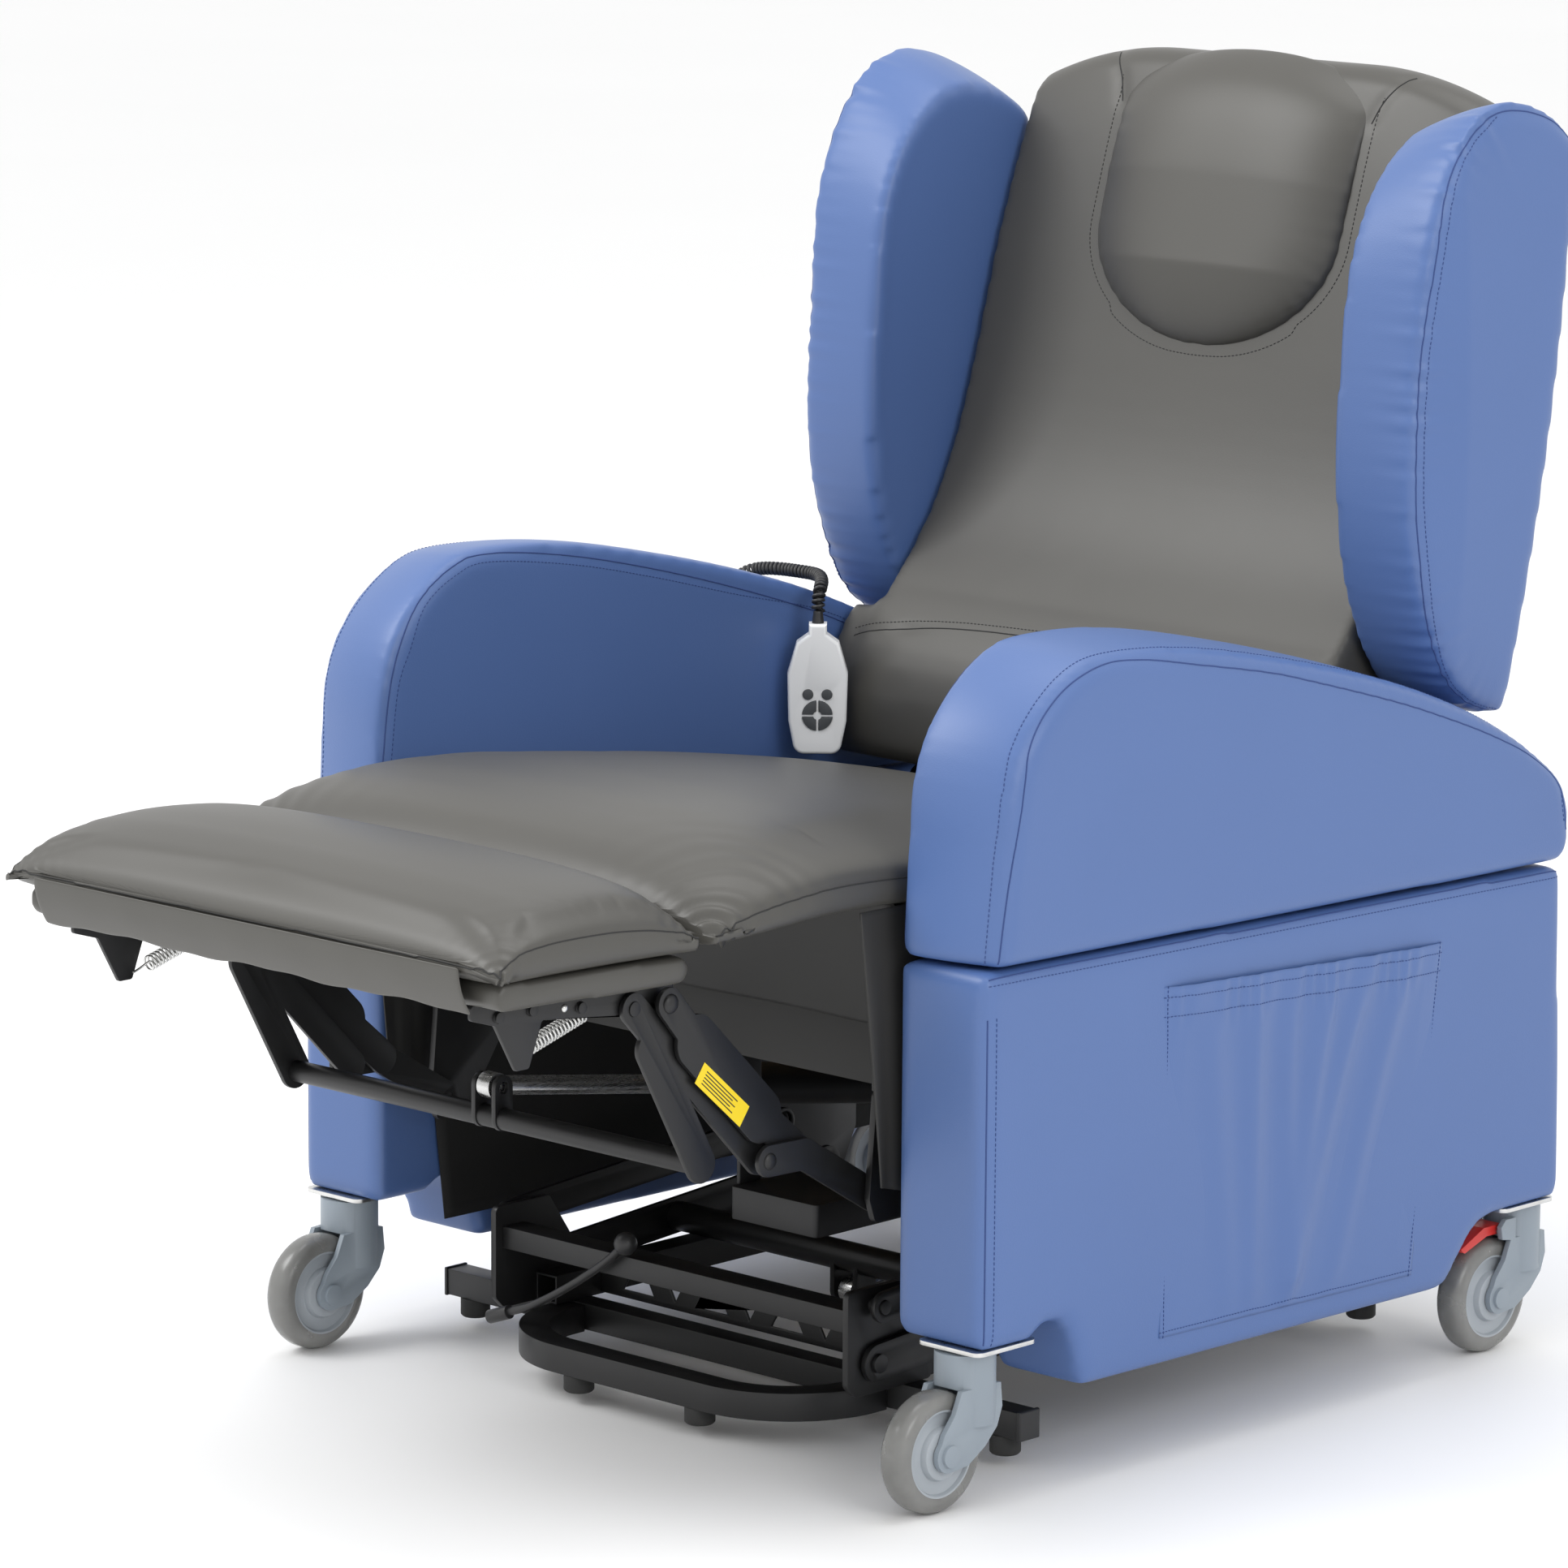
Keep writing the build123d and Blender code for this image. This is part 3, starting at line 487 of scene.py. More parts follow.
rivets(
    "legrest_rivets", "legrest",
    [(232, -372, 440), (232, -336, 440), (232, -283, 434)], 5, 3, black_coat,
)
rivets("bracket_rivets", "legrest", [(232, -212, 422), (232, -300, 436)], 3.4, 2.2, zinc)
rivets(
    "wide_link_rivets", "legrest_wide_links",
    [(244, -195, 425), (244, -47, 280)], 8, 3.5, black_coat,
)
rivets(
    "lower_link_rivets", "legrest_lower_links",
    [(250, -88, 281), (250, 33, 232)], 7, 3, black_coat,
)
rivets("lift_pivot_heads", "lift_base", [(209.5, 78, 77)], 9, 3, zinc)

# ---- Warning patch ----
# A plain yellow sticker on the left wide link, with generic dark bars and no words.
YELLOW_CORNERS = [(-157, 372), (-106, 328), (-117, 313), (-168, 357)]
sticker, tree, shader, spot = finish("yellow_sticker", Roughness=0.35)
feed(shader, "Base Color", blend_colours(tree, noise(tree, spot, 30), (0.83, 0.6, 0.01), (0.9, 0.68, 0.02)))
ink, tree, shader, spot = finish("sticker_ink", Roughness=0.5)
feed(shader, "Base Color", blend_colours(tree, noise(tree, spot, 80), (0.01, 0.01, 0.01), (0.03, 0.03, 0.02)))


def patch(name, corners, x, thick, material):
    """A thin flat patch in side view."""
    mesh = bpy.data.meshes.new(name)
    near = [at(x, y, z) for y, z in corners]
    far = [at(x + thick, y, z) for y, z in corners]
    sides = [(i, (i + 1) % 4, 4 + (i + 1) % 4, 4 + i) for i in range(4)]
    mesh.from_pydata([*near, *far], [], [(3, 2, 1, 0), (4, 5, 6, 7), *sides])
    shape = bmesh.new()
    shape.from_mesh(mesh)
    bmesh.ops.recalc_face_normals(shape, faces=shape.faces)
    shape.to_mesh(mesh)
    shape.free()
    piece = put(name, mesh, material)
    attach(piece, "legrest_wide_links")
    return piece


def on_patch(along_it, down_it):
    """A point of the sticker from two fractions."""
    a, b, c, d = (Vector(corner) for corner in YELLOW_CORNERS)
    return a.lerp(b, along_it).lerp(d.lerp(c, along_it), down_it)


patch("yellow_sticker", YELLOW_CORNERS, 244.05, 0.25, sticker)
for row in range(5):
    top, low = 0.2 + row * 0.14, 0.25 + row * 0.14
    bar_end = 0.78 - 0.08 * (row % 2)
    bar = [on_patch(0.1, top), on_patch(bar_end, top), on_patch(bar_end, low), on_patch(0.1, low)]
    patch(f"sticker_bar_{row}", [tuple(point) for point in bar], 244.32, 0.08, ink)

# ---- Castors ----
# Twin-cheek moulded grey forks, a grey rim in a clear grey polyurethane tyre, domed axle caps,
# and a red pedal on the rear pair.
fork_grey, tree, shader, spot = finish("grey_nylon", Roughness=0.42)
feed(shader, "Base Color", blend_colours(tree, noise(tree, spot, 12), (0.22, 0.26, 0.3), (0.27, 0.31, 0.35)))
bump(tree, shader, noise(tree, spot, 1100, 2.0), 0.12, 0.0002)
rim_grey, tree, shader, spot = finish("grey_rim", Roughness=0.38)
feed(shader, "Base Color", blend_colours(tree, noise(tree, spot, 18), (0.3, 0.33, 0.36), (0.36, 0.39, 0.42)))
tyre_grey, tree, shader, spot = finish("clear_grey_tyre", Roughness=0.22, IOR=1.5)
shader.inputs["Transmission Weight"].default_value = 0.35
wear = noise(tree, spot, 40, 5.0)
feed(shader, "Base Color", blend_colours(tree, wear, (0.2, 0.2, 0.19), (0.34, 0.34, 0.33)))
feed(shader, "Roughness", wear * 0.2 + 0.15)
red_plastic, tree, shader, spot = finish("red_pedal", Roughness=0.35)
feed(shader, "Base Color", blend_colours(tree, noise(tree, spot, 40), (0.5, 0.02, 0.02), (0.62, 0.04, 0.03)))
bump(tree, shader, noise(tree, spot, 900), 0.15, 0.0002)


def turned(name, profile, centre, material, steps=96):
    """A closed ring turned about the wheel's axle, from (across, radius) corners in millimetres."""
    count = len(profile)
    points = []
    for step in range(steps):
        angle = 2 * pi * step / steps
        for across, radius in profile:
            points.append(centre + Vector((across, radius * cos(angle), radius * sin(angle))) / 1000)
    faces = []
    for step in range(steps):
        here, after = step * count, (step + 1) % steps * count
        sides = [(i, (i + 1) % count) for i in range(count)]
        faces += [(here + one, here + two, after + two, after + one) for one, two in sides]
    mesh = bpy.data.meshes.new(name)
    mesh.from_pydata(points, [], faces)
    shape = bmesh.new()
    shape.from_mesh(mesh)
    bmesh.ops.recalc_face_normals(shape, faces=shape.faces)
    shape.to_mesh(mesh)
    shape.free()
    for face in mesh.polygons:
        face.use_smooth = True
    mesh.set_sharp_from_angle(angle=radians(32))
    return put(name, mesh, material)


TYRE = [(-12.5, 36), (-13, 40), (-12.6, 43.5), (-11, 46.6), (-8, 48.9), (-4, 50), (4, 50), (8, 48.9),
        (11, 46.6), (12.6, 43.5), (13, 40), (12.5, 36)]
HALF_RIM = [(12.6, 36), (12.4, 34.5), (11, 33.5), (9.6, 33), (9, 31.5), (9, 24), (9.6, 22.5), (12, 21.8),
            (14.4, 20.6), (15, 19), (15, 9)]
for end in ("front", "rear"):
    for side in ("left", "right"):
        castor = f"castor_{end}_{side}"
        low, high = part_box(f"{castor}_wheel")
        hub = (low + high) / 2
        dressed(f"{castor}_fork", fork_grey, 1.6)
        tyre = turned(f"{castor}_tyre", TYRE, hub, tyre_grey)
        rim = turned(f"{castor}_rim", [*HALF_RIM, *[(-x, r) for x, r in reversed(HALF_RIM)]], hub, rim_grey)
        for piece in (tyre, rim):
            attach(piece, f"{castor}_wheel")
        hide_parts(f"{castor}_wheel")
for side in ("left", "right"):
    dressed(f"brake_pedal_{side}", red_plastic, 0.5)

# ---- Handset ----
# A white moulded remote with two round keys above four quadrant keys, hooked at the right side
# of the seat.
shell_white, tree, shader, spot = finish("white_moulding", Roughness=0.32)
feed(shader, "Base Color", blend_colours(tree, noise(tree, spot, 22), (0.84, 0.85, 0.85), (0.88, 0.88, 0.88)))
bump(tree, shader, noise(tree, spot, 1500), 0.08, 0.0001)
key_grey, tree, shader, spot = finish("grey_keys", Roughness=0.5)
shade = blend_colours(tree, noise(tree, spot, 60), (0.05, 0.055, 0.06), (0.08, 0.085, 0.09))
feed(shader, "Base Color", shade)
dressed("handset", shell_white, 0.4)
for number in range(1, 7):
    dressed(f"handset_key_{number}", key_grey, 0.4)

# ---- Vinyl ----
# Soft-grained polyurethane-coated cloth over foam and board: blue outside, charcoal where the
# sitter touches it. The grain is fine pebbling, with slow changes of tone and sheen.


def vinyl(name, light, deep, roughness, grain=0.16):
    material, tree, shader, spot = finish(name)
    shader.inputs["Coat Weight"].default_value = 0.04
    shader.inputs["Coat Roughness"].default_value = 0.35
    pebbles = node(tree, "ShaderNodeTexVoronoi", inputs={"Vector": spot, "Scale": 820}, feature="F1")
    creases = noise(tree, spot, 1500, 2.0)
    tone = noise(tree, spot, 3.2, 4.0)
    feed(shader, "Base Color", blend_colours(tree, tone, deep, light))
    feed(shader, "Roughness", tone * 0.12 + creases * 0.08 + roughness)
    bump(tree, shader, pebbles + creases * 0.6, grain, 0.0003)
    return material


blue_vinyl = vinyl("blue_vinyl", (0.08, 0.148, 0.355), (0.066, 0.126, 0.31), 0.33)
grey_vinyl = vinyl("charcoal_vinyl", (0.071, 0.068, 0.06), (0.056, 0.054, 0.048), 0.34, 0.07)
thread_blue, tree, shader, spot = finish("blue_thread", Roughness=0.8)
shade = blend_colours(tree, noise(tree, spot, 900), (0.02, 0.045, 0.16), (0.035, 0.07, 0.22))
feed(shader, "Base Color", shade)
thread_grey, tree, shader, spot = finish("charcoal_thread", Roughness=0.8)
shade = blend_colours(tree, noise(tree, spot, 900), (0.012, 0.012, 0.012), (0.03, 0.03, 0.03))
feed(shader, "Base Color", shade)


def smooth_line(points, spacing=3.0):
    """Points a few millimetres apart on a smooth line through the given ones, in metres."""
    knots = [at(*point) for point in points]
    knots = [2 * knots[0] - knots[1], *knots, 2 * knots[-1] - knots[-2]]
    line = []
    for before, start, stop, after in zip(knots, knots[1:], knots[2:], knots[3:]):
        steps = max(2, round((stop - start).length * 1000 / spacing))
        for step in range(steps):
            t = step / steps
            first = 2 * start + (stop - before) * t
            second = (2 * before - 5 * start + 4 * stop - after) * t * t
            third = (3 * start - before - 3 * stop + after) * t * t * t
            line.append((first + second + third) / 2)
    line.append(knots[-2])
    return line


def settle(line, surface, lift):
    """The line laid on a surface, a fraction of a millimetre proud."""
    laid = []
    for point in line:
        spot_on_it, normal, _, _ = surface.find_nearest(point)
        laid.append(spot_on_it + normal * lift / 1000)
    return laid


def stitch_tree():
    """Short threads end to end along a curve: inputs for pitch, length and thickness."""
    tree = bpy.data.node_groups.new("stitch_row", "GeometryNodeTree")
    face = tree.interface
    face.new_socket("Seam", in_out="INPUT", socket_type="NodeSocketGeometry")
    for size in ("Pitch", "Stitch length", "Thickness"):
        face.new_socket(size, in_out="INPUT", socket_type="NodeSocketFloat")
    face.new_socket("Thread", in_out="INPUT", socket_type="NodeSocketMaterial")
    face.new_socket("Stitches", in_out="OUTPUT", socket_type="NodeSocketGeometry")
    start = tree.nodes.new("NodeGroupInput")
    end = tree.nodes.new("NodeGroupOutput")
    spaced = tree.nodes.new("GeometryNodeCurveToPoints")
    spaced.mode = "LENGTH"
    bead = tree.nodes.new("GeometryNodeMeshUVSphere")
    bead.inputs["Segments"].default_value = 6
    bead.inputs["Rings"].default_value = 6
    bead.inputs["Radius"].default_value = 0.5
    size = tree.nodes.new("ShaderNodeCombineXYZ")
    on_points = tree.nodes.new("GeometryNodeInstanceOnPoints")
    solid = tree.nodes.new("GeometryNodeRealizeInstances")
    coat = tree.nodes.new("GeometryNodeSetMaterial")
    link = tree.links.new
    link(start.outputs["Seam"], spaced.inputs["Curve"])
    link(start.outputs["Pitch"], spaced.inputs["Length"])
    link(spaced.outputs["Points"], on_points.inputs["Points"])
    link(spaced.outputs["Rotation"], on_points.inputs["Rotation"])
    link(bead.outputs["Mesh"], on_points.inputs["Instance"])
    link(start.outputs["Thickness"], size.inputs["X"])
    link(start.outputs["Thickness"], size.inputs["Y"])
    link(start.outputs["Stitch length"], size.inputs["Z"])
    link(size.outputs[0], on_points.inputs["Scale"])
    link(on_points.outputs["Instances"], solid.inputs["Geometry"])
    link(solid.outputs["Geometry"], coat.inputs["Geometry"])
    link(start.outputs["Thread"], coat.inputs["Material"])
    link(coat.outputs["Geometry"], end.inputs["Stitches"])
    return tree


stitch_row = stitch_tree()


def sewn(name, piece, seams, rows, thread, bodies, pitch=4.2):
    """A dark seam cord and rows of stitches laid on a piece's surface, moving as the piece does."""
    surface = BVHTree.FromObject(piece, bpy.context.evaluated_depsgraph_get())
    made = []
    if seams:
        welt = put(name, spline_curve(name, [settle(line, surface, -0.1) for line in seams], 0.0007), None)
        welt.data.bevel_resolution = 1
        mesh = plain_mesh(welt)
        bpy.data.objects.remove(welt)
        made.append(put(f"{name}_seam", mesh, thread))
    if rows:
        lines = spline_curve(name, [settle(line, surface, 0.15) for line in rows], 0.0)
        sizes = {
            "pitch": pitch / 1000, "stitch_length": 0.72 * pitch / 1000, "thickness": 0.0009,
            "thread": thread,
        }
        made.append(through_tree(f"{name}_stitches", lines, stitch_row, **sizes))
    for item in made:
        if len(bodies) == 1:
            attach(item, bodies[0])
        else:
            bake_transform(item)
    return made


def remeshed(name, source, voxel, rounds=4):
    """A closed shape as an even smooth skin of quads."""
    mesh = nodes[source].data.copy()
    mesh.materials.clear()
    block = put(name, mesh, None)
    weld = block.modifiers.new("weld", "WELD")
    weld.merge_threshold = 0.00005
    skin = block.modifiers.new("skin", "REMESH")
    skin.mode = "VOXEL"
    skin.voxel_size = voxel / 1000
    soften = block.modifiers.new("soften", "SMOOTH")
    soften.factor = 0.5
    soften.iterations = rounds
    made = plain_mesh(block)
    bpy.data.objects.remove(block)
    return put(name, made, None)


def nearest_seam(lines):
    """A search tree over seam points, with each point's distance along its line in millimetres."""
    points, runs = [], []
    for line in lines:
        run = 0.0
        for index, point in enumerate(line):
            run += (point - line[index - 1]).length * 1000 if index else 0
            points.append(point)
            runs.append(run)
    tree = KDTree(max(1, len(points)))
    for index, point in enumerate(points):
        tree.insert(point, index)
    tree.balance()
    return tree, runs


def ripple(run, pitch):
    """Uneven gathers along a seam, from 0 to 1."""
    waves = 0.5 + 0.3 * sin(2 * pi * run / pitch) + 0.2 * sin(2 * pi * run / (pitch * 1.63) + 1.3)
    return waves * (0.62 + 0.38 * sin(run * 0.027 + 1.0))


def sculpt(
    piece, swell, seams, groove, width, gathers=(), gather_depth=0.0, gather_pitch=14.0,
    gather_reach=22.0,
):
    """Swells the skin between its seams, pulls it in at them, and gathers it beside some of them."""
    mesh = piece.data
    tree, _ = nearest_seam(seams)
    folds, runs = nearest_seam(gathers)
    normals = [vertex.normal.copy() for vertex in mesh.vertices]
    for vertex, normal in zip(mesh.vertices, normals):
        push = swell(vertex.co, normal)
        if seams:
            distance = tree.find(vertex.co)[2] * 1000
            push -= groove * 2.718 ** (-((distance / width) ** 2))
        if gathers:
            _, index, distance = folds.find(vertex.co)
            fade = 2.718 ** (-distance * 1000 / gather_reach)
            push -= gather_depth * fade * ripple(runs[index], gather_pitch)
        vertex.co += normal * push / 1000


def subdivided(piece, material, levels=1):
    """One smooth subdivision, baked, with the material on it."""
    finer = piece.modifiers.new("finer", "SUBSURF")
    finer.levels = levels
    finer.render_levels = levels
    name = piece.name
    mesh = plain_mesh(piece)
    bpy.data.objects.remove(piece)
    made = put(name, mesh, material)
    for face in mesh.polygons:
        face.use_smooth = True
    return made


def clothed(piece, pressure, cap):
    """Blows the skin up as cloth, each point moving no further than the cap in millimetres."""
    rest = [vertex.co.copy() for vertex in piece.data.vertices]
    cloth = piece.modifiers.new("cloth", "CLOTH")
    cloth.settings.quality = 4
    cloth.settings.use_pressure = True
    cloth.settings.uniform_pressure_force = pressure
    cloth.settings.effector_weights.gravity = 0
    cloth.settings.tension_stiffness = 12
    cloth.settings.compression_stiffness = 12
    cloth.settings.bending_stiffness = 0.4
    cloth.collision_settings.use_collision = False
    scene = bpy.context.scene
    for step in range(1, 17):
        scene.frame_set(step)
    blown = plain_mesh(piece)
    moved = [vertex.co.copy() for vertex in blown.vertices]
    piece.modifiers.remove(cloth)
    scene.frame_set(1)
    bpy.data.meshes.remove(blown)
    for vertex, start, end in zip(piece.data.vertices, rest, moved):
        shift = end - start
        if shift.length * 1000 > cap:
            shift = shift.normalized() * cap / 1000
        vertex.co = start + shift


def upholstered(name, source, material, swell, seams, rows, thread, body, voxel=6.0, fill=0.6, **fit):
    """One upholstered piece: skin, swell, seams, gathers, subdivision, stitches and its body."""
    piece = remeshed(name, source, voxel)
    fit = {"groove": 2.2, "width": 5.0, **fit}
    shape = fit.pop("shape", None)
    if shape:
        for vertex in piece.data.vertices:
            vertex.co = shape(vertex.co)
    sculpt(piece, swell, seams, **fit)
    piece = subdivided(piece, material)
    sewing = sewn(name, piece, seams, rows, thread, [body])
    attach(piece, body)
    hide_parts(source)
    return piece, sewing


# ---- Lower side panels ----
# Board boxes padded and covered in blue vinyl, notched over the castors. A welted seam with a
# stitch row runs down the front outer edge and along the top.
def facing_out(side, most, middle, reach_y, reach_z):
    """Crown on the outer face: most in the middle and none at the edges."""

    def swell(place, normal):
        y, z = place.y * 1000 - FRONT, place.z * 1000
        along = max(0.0, 1 - ((y - middle[0]) / reach_y) ** 4)
        bulge = along * max(0.0, 1 - ((z - middle[1]) / reach_z) ** 4)
        return most * bulge * max(0.0, normal.x * side)

    return swell


def row_beside(points, shift):
    """The same line moved by (x, y, z)."""
    return [(x + shift[0], y + shift[1], z + shift[2]) for x, y, z in points]


for side, name in ((1, "left"), (-1, "right")):
    edge = [(side * 396, 7, z) for z in range(137, 441, 38)]
    top = [(side * 396, y, 439 - (y - 10) * 0.0205) for y in range(10, 741, 73)]
    seams = [smooth_line(edge), smooth_line(top)]
    rows = [smooth_line(row_beside(edge, (side, 9, 0))), smooth_line(row_beside(top, (side, 0, -8)))]
    upholstered(
        f"side_panel_{name}_cover", f"side_panel_{name}", blue_vinyl,
        facing_out(side, 3.0, (370, 270), 380, 175),
        seams, rows, thread_blue, "chair_frame", voxel=7.0, groove=1.2, width=3.5,
    )

# ---- Arms ----
# Foam on a plywood box. The band over the front and top leans down to the outside, and meets the
# side in a seam with a stitch row beside it.
ARM_OUTER = [(19, 443), (32, 520), (45, 588), (54, 618), (73, 643), (102, 662), (144, 673), (180, 671),
             (242, 660), (336, 642), (400, 626), (497, 599), (565, 577), (633, 552), (702, 521),
             (733, 496), (744, 456)]
ARM_INNER = [(6, 446), (13, 520), (21, 579), (35, 619), (59, 655), (95, 677), (134, 684), (231, 671),
             (331, 649), (434, 621), (538, 588), (620, 556)]


def arm_lean(side):
    """Draws the arm's outline in towards its outer side."""

    def shape(place):
        lean = max(0.0, min(1.0, (side * place.x * 1000 - 301) / 96)) ** 2
        y, z = place.y * 1000 - FRONT, place.z * 1000
        y = 748 - (748 - y) * (1 - 0.026 * lean)
        z = 436 + (z - 436) * (1 - 0.05 * lean)
        return at(place.x * 1000, y, z)

    return shape


for side, name in ((1, "left"), (-1, "right")):
    outer = [(side * 395, y, z) for y, z in ARM_OUTER]
    inner = [(side * 303, y, z) for y, z in ARM_INNER]
    seams = [smooth_line(outer), smooth_line(inner)]
    rows = [
        smooth_line(
            [(side * 385, y + (-7 if z < 620 else 0), z + (9 if y > 60 else 3)) for y, z in ARM_OUTER]
        ),
        smooth_line(
            [(side * 301, y + (8 if z < 640 else 3), z - (0 if z < 600 else 8)) for y, z in ARM_INNER]
        ),
    ]
    upholstered(
        f"arm_{name}_cover", f"arm_{name}", blue_vinyl, facing_out(side, 5.0, (330, 545), 420, 150),
        seams, rows, thread_blue, "chair_frame", voxel=6.0, shape=arm_lean(side), groove=1.6, width=4.0,
    )

# ---- Wings ----
# Thick foam wings covered in blue vinyl, the outer face sewn to the front band with the cover
# gathered along the curve.
WING_SEAM = [(786, 1040), (756, 1060), (712, 1071), (676, 1068), (640, 1044), (618, 1010), (602, 947),
             (590, 880), (586, 819), (586, 751), (594, 694), (607, 638), (626, 596), (656, 572),
             (694, 557)]


def wing_slope(place):
    """Slopes the wing's top down towards the cushion."""
    x, y, z = place.x * 1000, place.y * 1000 - FRONT, place.z * 1000
    inward = max(0.0, (352 - abs(x)) / 86)
    return at(x, y, z - 30 * inward**1.4 * max(0.0, min(1.0, (z - 930) / 130)))


for side, name in ((1, "left"), (-1, "right")):
    outer = [(side * 350, y, z) for y, z in WING_SEAM]
    seams = [smooth_line(outer)]
    rows = [smooth_line(row_beside([(side * 352, y + 7, z) for y, z in WING_SEAM[3:]], (0, 0, 0)))]

    def wing_swell(place, normal, side=side):
        y, z = place.y * 1000 - FRONT, place.z * 1000
        bulge = max(0.0, 1 - ((z - 815) / 270) ** 2)
        outward = max(0.0, normal.x * side) * 14 * bulge * max(0.0, min(1.0, (y - 575) / 60))
        forward = max(0.0, -normal.y) * 6 * bulge
        return outward + forward

    upholstered(
        f"wing_{name}_cover", f"wing_{name}", blue_vinyl, wing_swell, seams, rows, thread_blue, "backrest",
        voxel=6.0, groove=3.0, width=6.0,
        gathers=[smooth_line(outer[3:])], gather_depth=6.0, gather_pitch=15.0,
        gather_reach=18.0, fill=0.7, shape=wing_slope,
    )

# ---- Back cushion and head pillow ----
# One charcoal cushion from the head to the lumbar swell, with a U-shaped head pillow sewn on over
# the top. Two seams rise beside the pillow and an arch of stitches crosses the lumbar swell.
BACK_FACE = [(562, 560), (571, 587), (600, 622), (640, 661), (682, 746), (708, 817), (734, 904),
             (757, 990), (771, 1043), (784, 1068), (803, 1084), (826, 1082), (840, 1070)]
LUMBAR = [(-296, 592, 539), (-240, 575, 568), (-160, 566, 588), (-76, 562, 596), (0, 560, 599),
          (60, 560, 598), (150, 566, 590), (230, 575, 570), (296, 592, 539)]


def drooped(place):
    """Rounds the cushion's top corners down."""
    x, y, z = place.x * 1000, place.y * 1000 - FRONT, place.z * 1000
    corner = max(0.0, min(1.0, (abs(x) - 110) / 152))
    z -= 34 * corner**2 * max(0.0, min(1.0, (z - 900) / 180))
    return at(x, y, z)


def back_swell(place, normal):
    x, z = place.x * 1000, place.z * 1000
    across = max(0.0, 1 - (x / 265) ** 2)
    return max(0.0, -normal.y) * (4.0 * across + 4.0 * max(0.0, 1 - ((z - 540) / 70) ** 2))


def loops_mesh(name, loops):
    """A closed skin through loops of points, with a fan over each end."""
    size = len(loops[0])
    points = [point for loop in loops for point in loop]
    faces = []
    for row in range(len(loops) - 1):
        for index in range(size):
            after = (index + 1) % size
            near, far = row * size, (row + 1) * size
            faces.append((near + index, near + after, far + after, far + index))
    for base in (0, (len(loops) - 1) * size):
        points.append(sum((points[base + index] for index in range(size)), Vector()) / size)
        faces += [(base + index, base + (index + 1) % size, len(points) - 1) for index in range(size)]
    mesh = bpy.data.meshes.new(name)
    mesh.from_pydata(points, [], faces)
    shape = bmesh.new()
    shape.from_mesh(mesh)
    bmesh.ops.remove_doubles(shape, verts=shape.verts, dist=0.00001)
    bmesh.ops.recalc_face_normals(shape, faces=shape.faces)
    shape.to_mesh(mesh)
    shape.free()
    return put(name, mesh, None)


def ramp(table, along_it):
    """Smooth reading of a table of (position, value) pairs, without overshoot."""
    if along_it <= table[0][0]:
        return table[0][1]
    slopes = [(high - low) / (b - a) for (a, low), (b, high) in zip(table, table[1:])]
    pairs = zip(slopes, slopes[1:])
    bends = [slopes[0], *[2 * p * q / (p + q) if p * q > 0 else 0.0 for p, q in pairs], slopes[-1]]
    for index, ((a, low), (b, high)) in enumerate(zip(table, table[1:])):
        if along_it <= b:
            span = b - a
            t = (along_it - a) / span
            rise = (2 * t**3 - 3 * t**2 + 1) * low + (3 * t**2 - 2 * t**3) * high
            return rise + span * ((t**3 - 2 * t**2 + t) * bends[index] + (t**3 - t**2) * bends[index + 1])
    return table[-1][1]


BACK_CORNER = [(143, 773, 1040), (152, 781, 1062), (170, 800, 1080)]
back_seams = [smooth_line([(side * x, y, z) for x, y, z in BACK_CORNER]) for side in (-1, 1)]
back_piece, _ = upholstered(
    "back_cushion_cover", "back_cushion", grey_vinyl, back_swell, [smooth_line(LUMBAR), *back_seams],
    [smooth_line([(x, y, z + 9) for x, y, z in LUMBAR])], thread_grey, "backrest",
    voxel=7.0, groove=2.0, width=5.0, fill=0.7, shape=drooped,
)

face_line = smooth_line([(0, y, z) for y, z in BACK_FACE], 4.0)
face_run = [0.0]
for before, after in zip(face_line, face_line[1:]):
    face_run.append(face_run[-1] + (after - before).length * 1000)


def on_back(run):
    """A point of the cushion's middle line, and the way out of it, at a distance along the line."""
    index = 0
    while index < len(face_run) - 2 and face_run[index + 1] < run:
        index += 1
    first, last = face_line[index], face_line[index + 1]
    share = (run - face_run[index]) / (face_run[index + 1] - face_run[index])
    ahead = (face_line[min(index + 9, len(face_line) - 1)] - face_line[max(0, index - 8)]).normalized()
    return first.lerp(last, share), Vector((0, -ahead.z, ahead.y))


def pillow_half(run):
    """Half width of the pillow at a distance up from its round end, in millimetres."""
    round_part = max(0.0, 1 - run / 105) ** 2
    return 139 * max(0.0, 1 - round_part) ** 0.5 + 2


PILLOW_START = 322.0
PILLOW_RUN = 264.0
loops, pillow_left, pillow_right = [], [], []
for step in range(84):
    run = PILLOW_RUN * (step / 83) ** 1.25
    spot_on_back, outward = on_back(PILLOW_START + run)
    half = pillow_half(run)
    rise = 30 * min(1.0, (run / 70) ** 0.5) * (1 - 0.62 * max(0.0, (run - 150) / 114) ** 1.6)
    droop = 0.2 * max(0.0, run - 150)
    loop = []
    for index in range(49):
        u = -1 + 2 * index / 48
        u = u * (1.35 - 0.35 * u * u) if abs(u) < 1 else u
        crown = rise * max(0.0, 1 - abs(u) ** 3) ** 0.6
        point = spot_on_back + outward * (crown + 1.5) / 1000
        loop.append(point + Vector((half * u, 0, -droop * u * u)) / 1000)
    for index in range(1, 24):
        u = 1 - 2 * index / 24
        loop.append(spot_on_back - outward * 0.006 + Vector((half * 0.97 * u, 0, -droop * u * u)) / 1000)
    loops.append(loop)
    pillow_left.append(loop[0].copy())
    pillow_right.append(loop[48].copy())
pillow_edge = pillow_left[::-1] + pillow_right
